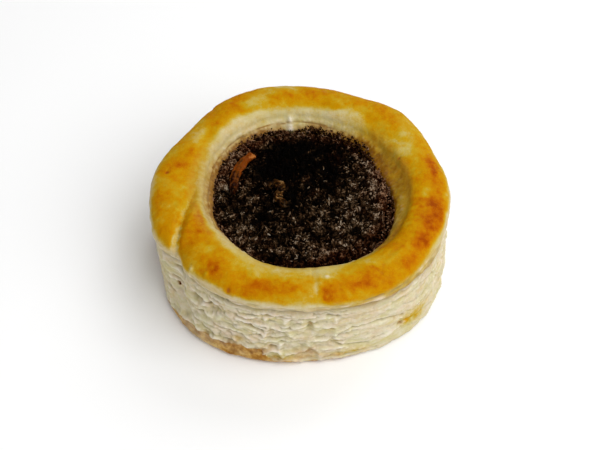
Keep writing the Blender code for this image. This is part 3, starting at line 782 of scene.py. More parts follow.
def fold_relief(x, y):
    """The ring's change of height at its fold and over the lobe outside it, and two masks: the
    crack, and the pale torn dough beside it with the lip's painted highlight."""
    share, beyond = beside_line(x, y, FOLD_LINE)
    near = down_to(x, FOLD_REACH_X, 3.0)
    front = smooth(share)
    groove = mix(*FOLD_DEPTHS, front) * bell(beyond, mix(*FOLD_HALF_WIDTHS, front))
    lobe = LOBE_DROP * smooth(beyond / LOBE_WIDTH)
    split = up_from(share, CRACK_START, 0.25) * (0.75 + rough_over(x, y, CRACK_NOISE))
    strayed = beyond + rough_over(x, y, FOLD_WANDER)
    crack = split * bell(strayed, CRACK_HALF_WIDTH)
    lip = split * bell(strayed - LIP_OFFSET, LIP_HALF_WIDTH)
    wide = up_from(share, TORN_WIDENS, 0.4)
    torn = down_to(np.abs(strayed - TORN_OFFSET), mix(*TORN_HALF_WIDTHS, wide), 0.4)
    torn = torn * mix(*TORN_PALENESS, wide)
    torn = torn * up_from(share, TORN_START, 0.3) * smooth(0.75 + rough_over(x, y, TORN_NOISE))
    relief = LIP_RISE * lip - groove - lobe - CRACK_DEPTH * crack
    return near * relief, near * crack, near * np.maximum(LIP_HIGHLIGHT * lip, torn)


def marked(x, y, column):
    """The sum of the ring's marks and lines at each point: one column of theirs, the rise or the toast."""
    marks = sum(mark[column] * bell(np.hypot(x - mark[0], y - mark[1]), mark[2]) for mark in MARKS)
    return marks + sum(line[column] * bell(off_path(x, y, line[:2]), line[2]) for line in LINES)


def ring_relief(x, y, height, height0, outer, on_wall, saucy):
    """The ring's wrinkles, marks, grooves and lumps, and the thin leaves of its outer edge."""
    wander = rough(height0, WALL_WANDER)
    grooves = sum(
        depth * bell(height0 - level - wander, wide) * (0.7 + rough(level, GROOVE_NOISE))
        for level, wide, depth in WALL_GROOVES
    )
    lumpy = rough(height0, WALL_LUMPS) * down_to(height0, WALL_LUMPS_TOP, 1.2)
    waving = np.sin((height + rough(height, EDGE_LEAF_BEND)) * math.tau / EDGE_LEAF_PITCH)
    leaves = EDGE_LEAF_DEPTH * waving + rough(height, EDGE_LEAF_NOISE)
    relief = rough_through(x, y, height, RING_WRINKLES) + marked(x, y, RISE_COLUMN)
    relief = relief + on_wall * (lumpy - grooves * (1.0 - 0.9 * saucy))
    return relief + down_to(height0, RING_EDGE_HEIGHT, 0.6) * outer * leaves


def gold_shares(x, y, radius, height):
    """From 0 to 1, how far the ring is golden outside its inner edge, and above its outer edge."""
    rags = rough_through(x, y, height, GOLD_RAGS)
    inner_edge = GOLD_INNER_RADIUS + bulge(GOLD_INNER_BULGES)
    inner_blend = GOLD_INNER_BLEND + bulge(GOLD_INNER_BLEND_BULGES)
    edge = GOLD_EDGE_HEIGHT + bulge(GOLD_EDGE_BULGES)
    inside = past(radius + 0.8 * rags, inner_edge, inner_blend)
    return inside, past(height + 0.5 * rags, edge, GOLD_EDGE_BLEND)


def gold_toast(x, y, shift):
    """How far the gold is baked, with its spots, marks and lines."""
    spot_x = x + rough_over(x, y, SPOT_WANDER_X)
    spot_y = y + rough_over(x, y, SPOT_WANDER_Y)
    spotted = spots(np.hypot(spot_x, spot_y) - shift, RING_SPOTS, None, angle_of(spot_x, spot_y))
    spotted = spotted * (1.0 + rough_over(x, y, SPOT_NOISE))
    level = GOLD_TOAST + bulge(GOLD_TOAST_BULGES) + spotted
    return level + rough_over(x, y, GOLD_MOTTLE) + marked(x, y, TOAST_COLUMN)


def pale_toast(x, y, height, band, tongue):
    """How far the pale dough is baked, on the well's slope and in the band under the gold."""
    slope = PALE_TOAST + bulge(PALE_TOAST_BULGES) + rough_over(x, y, PALE_MOTTLE)
    under = BAND_TOAST + bulge(BAND_TOAST_BULGES) + rough(height, BAND_MOTTLE)
    return mix(slope, under, band) - 0.12 * unit(tongue)


def ring_stain_and_shade(radius, height, height0, outer, on_wall, saucy, tongue):
    """How far juice and crumbs have browned the well's wall and slope, with painted shade in the crease
    under the ring's edge.
    """
    low = down_to(height, SOAK_HEIGHT + SAUCY_RISE * saucy, 3.0) * (1.0 - 0.8 * unit(tongue))
    low = low * np.maximum(on_wall, saucy * (1.0 - outer))
    soaked = (WALL_STAIN + bulge(STAINED_STRETCHES)) * (1.0 + rough(height, SOAK_NOISE))
    crumb_top = cling_height() + 1.2 + rough(height, CRUMB_STAIN_NOISE)
    crumbs = CRUMB_STAIN * down_to(height, crumb_top, 1.7) * on_wall
    slope = bulge(SLOPE_STAINS) * down_to(radius, SLOPE_STAIN_RADIUS, 3.0)
    slope = slope * (1.0 + rough(height, SLOPE_STAIN_NOISE))
    from_line = height0 - BROWN_LINE_HEIGHT - rough(height0, WALL_WANDER)
    line = on_wall * bell(from_line, BROWN_LINE_HALF_HEIGHT) * bulge(BROWN_LINE_STRETCHES)
    line = line * (1.0 + rough(height0, BROWN_LINE_NOISE))
    crease = down_to(height0, CREASE_SHADE_HEIGHT, 1.3) * outer * bulge(CREASE_SHADE)
    crease = crease * (1.0 + rough(height, CREASE_SHADE_NOISE))
    return low * soaked + crumbs + slope + line + crease


def ring():
    """The golden ring of pastry, with the well's wall inside it."""
    profile, shown = ring_profile()
    normal_r, normal_z = normals(profile)
    radius0, height0 = profile[:, 0:1], profile[:, 1:2]
    outer = up_from(radius0, CROWN_RADIUS, 4.0)
    on_wall = down_to(radius0, WELL_MOUTH_RADIUS + 1.0, 1.0)
    on_top = up_from(height0, WELL_SHOULDER_HEIGHT, 3.0)
    saucy = bulge(SAUCY_STRETCH)
    eased = EASED_BACK * saucy * bell(height0 - EASED_HEIGHT, 1.5) * (1.0 - outer)
    shift = case_shift(radius0, height0)
    radius = radius0 + shift + eased - on_wall * foot(height0)
    drop = bulge(CREASE_DROPS + EDGE_SAGS) * down_to(height0, RING_EDGE_HEIGHT, 2.1) * outer
    x, y, height = np.moveaxis(grid_points(ROUND, radius, height0 - drop), -1, 0)
    fold, crack, torn_paleness_and_lip_highlight = fold_relief(x, y)
    height = height + on_top * (rough_over(x, y, RING_SWELLS) + fold)
    tongue = bulge(TONGUE) * down_to(height0, TONGUE_TOP, 1.6) * up_from(height0, TONGUE_FOOT, 1.2)
    relief = ring_relief(x, y, height, height0, outer, on_wall, saucy) + tongue
    relief[shown:] = 0.0
    radius = radius + normal_r * relief
    points = grid_points(ROUND, radius, height + normal_z * relief)
    x, y, height = np.moveaxis(points, -1, 0)

    inside, outside = gold_shares(x, y, radius, height)
    gold = inside * np.where(radius0 > CROWN_RADIUS, outside, 1.0)
    golden = mix(gold_toast(x, y, shift), TORN_TOAST, unit(torn_paleness_and_lip_highlight))
    band = up_from(radius0, CROWN_RADIUS, 1.0)
    stain_and_shade = ring_stain_and_shade(radius, height, height0, outer, on_wall, saucy, tongue)
    sunk = hollows(relief)
    shades = {
        "toast": unit(mix(pale_toast(x, y, height, band, tongue), golden, gold)),
        "stain_and_shade": np.clip(stain_and_shade, 0.0, MOST_RING_STAIN_AND_SHADE),
        "bottom": np.zeros(x.shape),
        # Darker in hollows and in the fold's crack: painted shade.
        "recess_shade": unit(smooth(sunk / 0.28) + 0.55 * crack * on_top),
        # Pale ridges are lightened: painted highlight.
        "crest_highlight": (1.0 - gold) * smooth(-sunk / 0.3),
        "tint": unit(0.5 + 0.3 * band + rough_through(x, y, height, RING_TINT_NOISE)),
    }
    faces = loft_faces(*x.shape, True)
    return piece("pastry_ring", points, faces, shades, PASTRY, "puff_pastry", "pastry_case")


# --- The flaky side ----------------------------------------------------------------------------


def side_profile():
    """From the well's floor up its wall, out along the seam, down the side and in under the base."""
    floor = [(FLOOR_CAP_RADIUS, WELL_FLOOR_HEIGHT), (WELL_FLOOR_RADIUS, WELL_FLOOR_HEIGHT)]
    wall = dense([floor[1], (SEAM_INNER_RADIUS, SEAM_INNER_HEIGHT - SEAM_GAP)], 1.2)
    seam = dense([tuple(wall[-1]), (SEAM_OUTER_RADIUS, SIDE_TOP)], 3.0)
    heights = np.linspace(SIDE_TOP, 0.0, int(CREASE_HEIGHT / SIDE_SPACING))
    radii = mix(BASE_RADIUS, CREASE_RADIUS, smooth(heights / CREASE_HEIGHT))
    tuck = 1.0 - smooth(heights / BASE_LIP_HEIGHT)
    side = np.stack([radii - (BASE_RADIUS - BASE_FLAT_RADIUS) * tuck**2, heights], 1)
    under = np.array([(radius, 0.0) for radius in BASE_CAP_RADII])
    first = 1 + len(wall) + len(seam) - 1
    return np.concatenate([[floor[0]], wall, seam[1:], side, under]), slice(first, first + len(side))


def all_gaps():
    """The named gaps of the side, and others drawn round the rest of it."""
    draw = np.random.RandomState(SCATTER_SEED)
    gaps = list(NAMED_GAPS)
    for _ in range(SCATTERED_GAPS):
        angle, height, length, depth, rise = (draw.uniform(*limits) for limits in GAP_LIMITS)
        seen = SEEN_ANGLES[0] < angle < SEEN_ANGLES[1]
        if draw.uniform() > bulge(SMOOTH_STRETCHES, angle) + 0.6 * seen:
            gaps.append((angle, height, length, 0.1 + 0.12 * length, depth, rise))
    return gaps


def gap_relief(height):
    """The hollows of the side's gaps, worked out only near each gap."""
    relief = np.zeros(height.shape)
    for at, level, half_length, half_height, depth, rise in all_gaps():
        along = np.radians(turn_between(ROUND, at)) * CREASE_RADIUS
        near = np.abs(along[0]) < 3.0 * half_length
        along = along[:, near]
        up = height[:, near] - level - rise * along
        shape = np.exp(-(((along / half_length) ** 2 + (up / half_height) ** 2) ** 1.5))
        relief[:, near] -= depth * shape
    return relief


def leaf_relief(height, leaf):
    """Leaves of pastry, whose edges stand out or back by about their reach."""
    pitch, reach, seed = leaf
    level = (height + rough(height, seeded(LEAF_BEND, seed))) / pitch
    number = np.floor(level)
    part = level - number
    own = rough(number * 1.7, seeded(LEAF_REACH_NOISE, seed + 2))
    rounded = np.sqrt(unit(1.0 - (2.0 * part - 1.0) ** 2))
    return reach * (0.55 * own + 0.45 * rounded)


def flakes(height, flake):
    """Short flakes: each one's own level, from 0 to 1, and their relief, with steps from one to the
    next and sunken edges."""
    long, tall, step, edge, seed = flake
    count = round(math.tau * CREASE_RADIUS / long)
    along = ROUND_SHARE * count + 0.35 * around(height, 2.0 * long, 2.0 * tall, seed)
    level = height / tall + 0.5 * around(height, 1.6 * long, 4.0 * tall, seed + 1)
    first, second, own = cells(along, level, seed + 2, count)
    return own, step * (own - 0.5) + edge * (smooth((second - first) / 0.35) - 1.0)


def blister_relief(height):
    """Hollow blisters with thin torn ridges between them."""
    along = ROUND_SHARE * BLISTERS_ROUND + rough(height, BLISTER_BEND_ALONG)
    level = height / BLISTER_TALL + rough(height, BLISTER_BEND_UP)
    first, second, own = cells(along, level, BLISTER_SEED, BLISTERS_ROUND)
    return 0.45 - (0.7 + 0.7 * own) * smooth((second - first) / 0.45)


def leaves_and_flakes(at):
    """The side's relief of leaves, flakes and blisters, and the levels of its large and small flakes."""
    plain = np.clip(bulge(SMOOTH_STRETCHES), 0.0, 0.8)
    blistered = unit(bulge(BLISTERED_STRETCHES)) * down_to(at, BLISTERS_TOP, 3.0)
    aside = turn_between(ROUND, SLANT_ANGLE)
    slant = at + SLANT_A_DEGREE * aside * bell(aside, SLANT_HALF_WIDTH)
    thin = leaf_relief(slant, THIN_LEAF)
    thick = leaf_relief(slant, THICK_LEAF)
    large, large_relief = flakes(slant, LARGE_FLAKE)
    small, small_relief = flakes(slant, SMALL_FLAKE)
    flaky = (1.0 - 0.35 * blistered) * (large_relief + small_relief)
    relief = (1.0 - 0.5 * plain) * (1.0 - 0.7 * blistered) * thick
    relief = relief + (1.0 - 0.8 * plain) * ((1.0 - 0.6 * blistered) * thin + flaky)
    return relief - 0.25 + blistered * blister_relief(at), large, small


def crease_relief(at):
    """The side's long creases."""
    along = np.radians(ROUND) * CREASE_RADIUS + 0.0 * at
    relief = 0.0
    for path, depth, wide in LONG_CREASES:
        in_mm = [(math.radians(turn) * CREASE_RADIUS, level) for turn, level in path]
        relief = relief - depth * bell(off_path(along, at, in_mm), wide)
    return relief


def crust_edge(at):
    """How high the base's brown crust climbs, and from 0 to 1, where it ends above at a torn lip."""
    torn_end = TORN_BAND_END + rough(at, BAND_END_NOISE)
    torn_rise = down_to(ROUND, torn_end, TORN_BAND_FALL) * bulge(TORN_BAND_RISES)
    edge = BAND_HEIGHT + bulge(BAND_RISES) + torn_rise + rough(at, BAND_EDGE_NOISE)
    return edge, smooth(torn_rise / 1.5)


def side():
    """The case's flaky side and base, with the lower well inside."""
    profile, shown = side_profile()
    radius0, height0 = profile[:, 0:1], profile[:, 1:2]
    outer = up_from(radius0, WELL_RADIUS, 8.0)
    radius = radius0 + case_shift(radius0, height0)
    height = height0 - bulge(CREASE_DROPS + EDGE_SAGS) * smooth(height0 / CREASE_HEIGHT) * outer
    at = height[shown]
    relief, large, small = leaves_and_flakes(at)
    relief = relief + gap_relief(at) + crease_relief(at) + rough(at, SIDE_GRAIN)
    band_edge, lipped = crust_edge(at)
    below = past(band_edge, at, 0.35)
    torn = bell(at - band_edge - 0.25, 0.3) * lipped
    relief = mix(relief, rough(at, CRUST_GRAIN) - 0.15, below) + 0.4 * torn
    flaked = spots(at, PALE_FLAKES, CREASE_RADIUS)
    under_ring = bell(SIDE_TOP - height0[shown], 1.1)
    ends = down_to(height0[shown], SIDE_TOP, 0.5) * smooth(height0[shown] / 0.8)
    relief = np.clip(relief + flaked, *SIDE_RELIEF_LIMITS) * ends - UNDERCUT * under_ring
    radius[shown] += relief

    gold = spots(at, SIDE_GOLD, CREASE_RADIUS) * (1.0 + rough(at, GOLD_RUN_NOISE))
    toast = SIDE_TOAST + rough(at, SIDE_MOTTLE) + gold + 0.04 * torn + 0.05 * (small - 0.5)
    smeared = spots(at, SMEARS, CREASE_RADIUS) * (1.0 + rough(at, SMEAR_NOISE))
    faint = bulge(FAINT_CRUST)
    browned = below * (CRUST_BROWN - faint + rough(at, CRUST_MOTTLE)) + smeared * (1.0 - below)
    scorched = 0.35 * bell(at - band_edge + 0.2, 0.22) * lipped * (1.0 + rough(at, SCORCH_NOISE))
    specks_and_gap_shade = spots(at, [(a, z, size, size, dark) for a, z, size, dark in SIDE_SPECKS_AND_GAP_SHADE], CREASE_RADIUS)
    stain_and_shade = unit(scorched + specks_and_gap_shade + under_ring * bulge(CREASE_SHADE))
    sunk = hollows(relief)
    tint = 0.45 + rough(at, SIDE_TINT_NOISE) + 0.2 * (large - 0.5)
    seen = {
        "toast": unit(toast),
        "stain_and_shade": stain_and_shade,
        "bottom": unit(browned),
        # Darker in hollows and under the ring's edge: painted shade.
        "recess_shade": unit(np.maximum(smooth(sunk / 0.45), 0.8 * under_ring)) * (1.0 - stain_and_shade),
        # Ridges and the flakes under the crease are lightened: painted highlight.
        "crest_highlight": unit(smooth(-sunk / 0.4) * (1.0 - below) + 2.0 * flaked),
        "tint": unit(tint),
    }
    shades = {name: np.zeros(radius.shape) for name in seen}
    shades["bottom"][shown.stop :] = 0.8
    shades["stain_and_shade"][: shown.start - 4] = 0.9
    for name, values in seen.items():
        shades[name][shown] = values
    points = grid_points(ROUND, radius, height)
    faces = loft_faces(*radius.shape, False)
    return piece("pastry_side", points, faces, shades, PASTRY, "puff_pastry", "pastry_case")


# --- The mince ---------------------------------------------------------------------------------


def well_radius(angle, height, inset):
    share = np.minimum((height - WELL_FLOOR_HEIGHT) / (WELL_SHOULDER_HEIGHT - WELL_FLOOR_HEIGHT), 1.0)
    return mix(WELL_FLOOR_RADIUS, WELL_RADIUS, share) - inset + bulge(WELL_BULGES, angle)


def bed_share(x, y):
    """1 under a scrap, falling to 0 beside it."""
    strip = np.abs(beside_line(x, y, STRIP_LINE)[1]) - STRIP_WIDTH / 2
    curl = np.abs(beside_line(x, y, CURL_LINE)[1]) - CURL_WIDTH / 2
    return 1.0 - smooth(np.minimum(strip, curl) / BED_MARGIN)


def buried(x, y):
    """How likely a shred lies on the scrap at each point: the strip's far end and the curl are strewn."""
    share, off_strip = beside_line(x, y, STRIP_LINE)
    strip = mix(*STREWN_STRIP, up_from(share, 0.5, 0.35))
    return np.where(np.abs(off_strip) < STRIP_WIDTH, strip, STREWN_CURL)


def threads(x, y, length, seed):
    """Thin crooked ridges about that far apart, from 0 to 1."""
    bent_x = x + 0.4 * length * over(x, y, 0.8 * length, seed + 1)
    bent_y = y + 0.4 * length * over(x, y, 0.8 * length, seed + 2)
    return 1.0 - smooth(2.4 * np.abs(over(bent_x, bent_y, length, seed)))


def grain_relief(x, y):
    """The bumps of the mince, and how high a point is on its threads and on its clump, from 0 to 1. The
    first is its tone, lighter on threads and higher grains as a painted highlight.
    """
    clump_x = x / CLUMP_LENGTH + rough_over(x, y, CLUMP_BEND_X)
    clump_y = y / CLUMP_LENGTH + rough_over(x, y, CLUMP_BEND_Y)
    first, second, own = cells(clump_x, clump_y, CLUMP_SEED)
    channel = smooth((second - first) / CHANNEL_WIDTH)
    clumps = CLUMP_RISE * (0.5 * own + 0.6 * channel - 0.55)
    coarse, fine = (threads(x, y, length, THREAD_SEED + length) for length in THREAD_LENGTHS)
    first, _, own = cells(x / FINE_GRAIN_LENGTH, y / FINE_GRAIN_LENGTH, FINE_GRAIN_SEED)
    grains = FINE_GRAIN_RISE * (0.8 * own + 0.2 - first**2)
    relief = rough_over(x, y, SWELLS) + clumps + THREAD_RISES[0] * coarse + THREAD_RISES[1] * fine + grains
    tone = THREAD_HIGHLIGHTS[0] * coarse + THREAD_HIGHLIGHTS[1] * fine + GRAIN_TONE * (own - 0.5)
    return relief - MEAN_GRAIN, np.clip(tone, 0.0, 1.2), channel


def filling_height(x, y):
    top = FILLING_TOP + patches(x, y, FILLING_RISES)
    return top + mix(grain_relief(x, y)[0], -BED_DEPTH, bed_share(x, y))


def dryness_and_channel_shade(x, y):
    """How pale and dried out the mince is, from 0, wet and black, to 1, with painted shade in the channels
    between its clumps.
    """
    rim = up_from(np.hypot(x, y), 17.5, 4.0) * bulge(RIM_DRYNESS, angle_of(x, y))
    dry_and_lit = DRYNESS + patches(x, y, DRY_PATCHES) + rim + rough_over(x, y, DRY_NOISE)
    pale = patches(x, y, PALE_PATCHES) * (1.0 + rough_over(x, y, PALE_NOISE))
    return (np.clip(dry_and_lit, *DRY_LIMITS) + pale) * mix(*CLUMP_CHANNEL_SHADE, grain_relief(x, y)[2])


def redness(x, y):
    rim = RED_RIM * up_from(np.hypot(x, y), 19.5, 3.0)
    return unit(rim + patches(x, y, RED_PATCHES) + rough_over(x, y, RED_NOISE))


def filling():
    """An uneven disc of mince whose edge is drawn down into the well."""
    side_share = np.linspace(-1.0, 1.0, FILLING_CELLS + 1)
    v, u = np.meshgrid(side_share, side_share, indexing="ij")
    disc_x, disc_y = u * np.sqrt(1.0 - v * v / 2.0), v * np.sqrt(1.0 - u * u / 2.0)
    angle = angle_of(disc_x, disc_y)
    share = np.hypot(disc_x, disc_y)
    reach = well_radius(angle, FILLING_TOP, GAP + bulge(SHRINKS, angle))
    torn = rough_over(disc_x * WELL_RADIUS, disc_y * WELL_RADIUS, TORN_EDGE)
    ragged = (torn - np.abs(torn)) * up_from(share, 0.8, 0.2)
    x, y = in_plan(angle, reach * share + ragged)
    z = filling_height(x, y) - EDGE_DRAW * up_from(share, 0.93, 0.07)
    index = np.arange(x.size).reshape(x.shape)
    quads = np.stack([index[:-1, :-1], index[:-1, 1:], index[1:, 1:], index[1:, :-1]], -1)
    rim = np.concatenate([index[0, :-1], index[:-1, -1], index[-1, :0:-1], index[:0:-1, 0]])
    rim_angle = angle.ravel()[rim]
    rows = [np.stack([x, y, z], -1).reshape(-1, 3)]
    for row in range(1, SKIRT_ROWS + 1):
        level = mix(FILLING_TOP - EDGE_DRAW, WELL_FLOOR_HEIGHT + GAP, (row / SKIRT_ROWS) ** 1.6)
        shrunk = up_from(level, SHRINK_FLOOR, FILLING_TOP - SHRINK_FLOOR)
        bumps = rough(level, SKIRT_NOISE, rim_angle) * up_from(level, 8.0, 3.0)
        radius = well_radius(rim_angle, level, GAP + shrunk * bulge(SHRINKS, rim_angle)) + bumps
        rows.append(grid_points(rim_angle, radius, level))
    skirt = x.size + np.arange(SKIRT_ROWS * len(rim)).reshape(SKIRT_ROWS, -1)
    loops = np.concatenate([rim[None, :], skirt])
    walls = np.stack([loops[:-1], np.roll(loops[:-1], -1, 1), np.roll(loops[1:], -1, 1), loops[1:]], -1)
    faces = quads.reshape(-1, 4).tolist() + walls.reshape(-1, 4).tolist() + [loops[-1].tolist()]
    points = np.concatenate(rows)
    shades = {
        # Darker lower in the well: painted shade.
        "dry_and_lit": dryness_and_channel_shade(points[:, 0], points[:, 1]) * up_from(points[:, 2], 15.0, 3.0),
        "tone": grain_relief(points[:, 0], points[:, 1])[1],
        "red_and_lit": redness(points[:, 0], points[:, 1]),
    }
    return piece("mince_core", points, faces, shades, MINCE, "minced_filling", "filling")


def lumps(draw, middles, sizes, stretch, tilt):
    """Small uneven lumps round the middles, stretched within limits along x, y and z, then tilted
    and turned at random: their points and faces, and the number of points in one."""
    ball = bmesh.new()
    bmesh.ops.create_icosphere(ball, subdivisions=1, radius=1.0)
    corners = np.array([vertex.co[:] for vertex in ball.verts])
    sides = np.array([[vertex.index for vertex in face.verts] for face in ball.faces])
    ball.free()
    count = len(middles)
    place = np.moveaxis(corners * LUMP_KNOBS + draw.uniform(0.0, 90.0, (count, 1, 1)), -1, 0)
    swollen = 1.0 + LUMP_SWELL * waves(*place)
    shape = corners * swollen[..., None] * draw.uniform(*stretch, (count, 3))[:, None]
    shape = shape * sizes[:, None, None]
    pitch = draw.uniform(-tilt, tilt, (count, 1))
    turn = draw.uniform(0.0, math.tau, (count, 1))
    long = shape[..., 0] * np.cos(pitch) - shape[..., 2] * np.sin(pitch)
    z = shape[..., 0] * np.sin(pitch) + shape[..., 2] * np.cos(pitch)
    x = long * np.cos(turn) - shape[..., 1] * np.sin(turn)
    y = long * np.sin(turn) + shape[..., 1] * np.cos(turn)
    points = np.stack([x, y, z], -1) + middles[:, None]
    faces = sides + len(corners) * np.arange(count)[:, None, None]
    return points.reshape(-1, 3), faces.reshape(-1, 3).tolist(), len(corners)


def loose_mince(name, lumped, toning, draw, dry_and_lit, red_and_lit):
    """A piece of loose lumps, each with its own values."""
    points, faces, corners = lumped
    tone = toning[0] * draw.uniform(size=len(dry_and_lit)) ** toning[1]
    shades = {"dry_and_lit": dry_and_lit, "tone": tone, "red_and_lit": red_and_lit}
    shades = {shade: np.repeat(values, corners) for shade, values in shades.items()}
    return piece(name, points, faces, shades, MINCE, "minced_filling", rounded=False)


def shreds():
    """Loose shreds of mince all over the filling, and a few on the scraps."""
    draw = np.random.RandomState(SHRED_SEED)
    angle = draw.uniform(-180.0, 180.0, SHRED_TRIES)
    reach = well_radius(angle, FILLING_TOP, GAP + bulge(SHRINKS, angle) + 0.2)
    distance = np.sqrt(draw.uniform(size=SHRED_TRIES)) * reach
    x, y = in_plan(angle, distance)
    dry_and_lit = dryness_and_channel_shade(x, y)
    on_scrap = bed_share(x, y) > 0.7
    chance = np.where(on_scrap, buried(x, y), 0.4 + 0.6 * dry_and_lit)
    kept = np.flatnonzero(draw.uniform(size=SHRED_TRIES) < chance)[:SHREDS]
    x, y, dry_and_lit, on_scrap = x[kept], y[kept], dry_and_lit[kept], on_scrap[kept]
    sizes = draw.uniform(*SHRED_SIZES, len(kept))
    height = filling_height(x, y) + SCRAP_RISE * on_scrap + 0.1 * sizes
    glints = GLINT * (draw.uniform(size=len(kept)) < GLINT_SHARE)
    dry_and_lit = np.where(on_scrap, STREWN_DRYNESS, dry_and_lit) + glints + draw.uniform(-0.2, 0.2, len(kept))
    lumped = lumps(draw, np.stack([x, y, height], -1), sizes, SHRED_STRETCH, SHRED_TILT)
    return loose_mince("mince_grains", lumped, SHRED_TONING, draw, dry_and_lit, redness(x, y))


def fringe():
    """Mince that clings to the well's wall as a ragged fringe over the filling's edge."""
    draw = np.random.RandomState(FRINGE_SEED)
    angle = draw.uniform(-180.0, 180.0, FRINGE_TRIES)
    climb = draw.uniform(*FRINGE_CLIMB, FRINGE_TRIES)
    edge = cling_height(angle) + rough(0.0, FRINGE_NOISE, angle)
    kept = FILLING_TOP + climb < edge - draw.uniform(0.0, 0.4, FRINGE_TRIES)
    angle, climb, edge = angle[kept], climb[kept], edge[kept]
    height = FILLING_TOP + climb
    low = down_to(height, edge, 0.9)
    sizes = draw.uniform(*CRUMB_SIZES, len(angle)) * mix(0.6, 1.0, low)
    climbed = np.maximum(height - WELL_SHOULDER_HEIGHT, 0.0)
    wall = WELL_RADIUS + climbed * WALL_LEAN + bulge(WELL_BULGES, angle)
    radius = wall - 0.5 * sizes - foot(height, angle)
    in_gap = draw.uniform(0.0, 1.1, len(angle)) * bulge(SHRINKS, angle) * (climb < -0.1)
    middles = grid_points(angle, radius - in_gap, height - 0.3 * in_gap)
    lumped = lumps(draw, middles, sizes, FRINGE_STRETCH, FRINGE_TILT)
    dry_and_lit = mix(dryness_and_channel_shade(middles[:, 0], middles[:, 1]), FRINGE_DRYNESS, 0.6)
    dry_and_lit = dry_and_lit + draw.uniform(-0.3, 0.2, len(angle))
    # Crumbs in the gap at front right, by the right wall and near the fringe's top are painted lighter and
    # redder: painted light.
    lit = bulge(LIT_CRUMBS, angle) + 0.2 * (1.0 - low)
    red_and_lit = unit(redness(middles[:, 0], middles[:, 1]) + lit)
    return loose_mince("wall_crumbs", lumped, FRINGE_TONING, draw, dry_and_lit + lit, red_and_lit)


# --- The scraps on the mince -------------------------------------------------------------------


def scrap(name, line, width, thickness, crumple, fade, look, slot, node):
    """A shred: a flat ribbon with ragged edges and furrows along it, bent along its line."""
    along, around_it = 150, 64
    middle, heading = curve_points(line, along)
    share = np.linspace(0.0, 1.0, along)[:, None]
    turn = np.linspace(0.0, math.tau, around_it, endpoint=False)[None, :]
    across, up = np.cos(turn), np.sin(turn)
    across = np.sign(across) * np.abs(across) ** 0.6
    up = np.sign(up) * np.abs(up) ** 0.7
    ends = np.clip(1.0 - (2.0 * share - 1.0) ** 6, 0.02, 1.0) ** 0.6
    swing = 0.26 + 0.2 * crumple
    left, right = (
        1.1 + swing * waves(share * 9.0, 0.0, shift) + 0.2 * waves(share * 26.0, 0.0, shift + 2.0)
        for shift in (3.0, 7.0)
    )
    half = 0.5 * width * (0.45 + 0.55 * ends) * np.where(across > 0.0, left, right)
    place = share * 12.0
    furrows = 0.2 * waves(place * 0.3, across * 2.6, 13.0)
    furrows = furrows + crumple * 0.35 * waves(place * 1.9, across * 3.4, 31.0)
    furrows = furrows * unit(up)
    bumps = 0.4 * waves(place * 0.5, across, 8.0) + 0.35 * waves(place * 1.3, across * 1.8, 17.0)
    bumps = crumple * bumps
    rest = FILLING_TOP + patches(middle[:, :1], middle[:, 1:], FILLING_RISES) - BED_DEPTH + GAP
    z = rest + SCRAP_CLEARANCE + 0.5 * thickness * ends * (up + 1.0) + bumps + furrows
    x = middle[:, :1] - heading[:, 1:] * half * across
    y = middle[:, 1:] + heading[:, :1] * half * across
    fibre = 0.5 * waves(place * 0.3, across * 3.0, up * 0.5) + 0.4 * waves(place, across * 1.6, 19.0)
    lit = crumple * (1.3 * furrows + 0.8 * bumps + 0.55 * waves(place * 0.9, across, 41.0))
    # Painted shade in a furrow along one edge, and a painted highlight along the middle.
    furrow_shade = (1.0 - crumple) * (0.35 * bell(across + 0.45, 0.3) - 0.12 * bell(across - 0.1, 0.4))
    shades = {"tone": unit(mix(0.5, share, fade) + 0.4 * fibre + lit + furrow_shade)}
    points = np.stack(np.broadcast_arrays(x, y, z), -1)
    return piece(name, points, loft_faces(along, around_it, False), shades, look, slot, node)


# --- Materials ---------------------------------------------------------------------------------

CRUST_STOPS = (
    (0, (0.62, 0.55, 0.4)), (0.12, (0.57, 0.485, 0.26)), (0.26, (0.51, 0.385, 0.095)),
    (0.4, (0.485, 0.3, 0.012)), (0.54, (0.475, 0.235, 0.0008)), (0.68, (0.45, 0.175, 0.0004)),
    (0.83, (0.4, 0.108, 0.0002)), (1, (0.29, 0.055, 0.0002)),
)
TINT_STOPS = ((0.1, (0.95, 0.97, 0.85)), (0.45, (1, 1, 1)), (0.9, (1, 0.93, 0.92)))
STAIN_AND_SHADE_STOPS = (
    (0, (0.44, 0.29, 0.075)), (0.45, (0.31, 0.158, 0.014)), (0.75, (0.19, 0.066, 0.004)),
    (1, (0.018, 0.005, 0.001)),
)
BOTTOM_STOPS = ((0.25, (0.6, 0.38, 0.11)), (0.5, (0.41, 0.2, 0.036)), (0.75, (0.22, 0.075, 0.01)))
# The cream that ridges are lightened towards, as painted highlight.
CREST_HIGHLIGHT_COLOUR = (0.81, 0.76, 0.66)
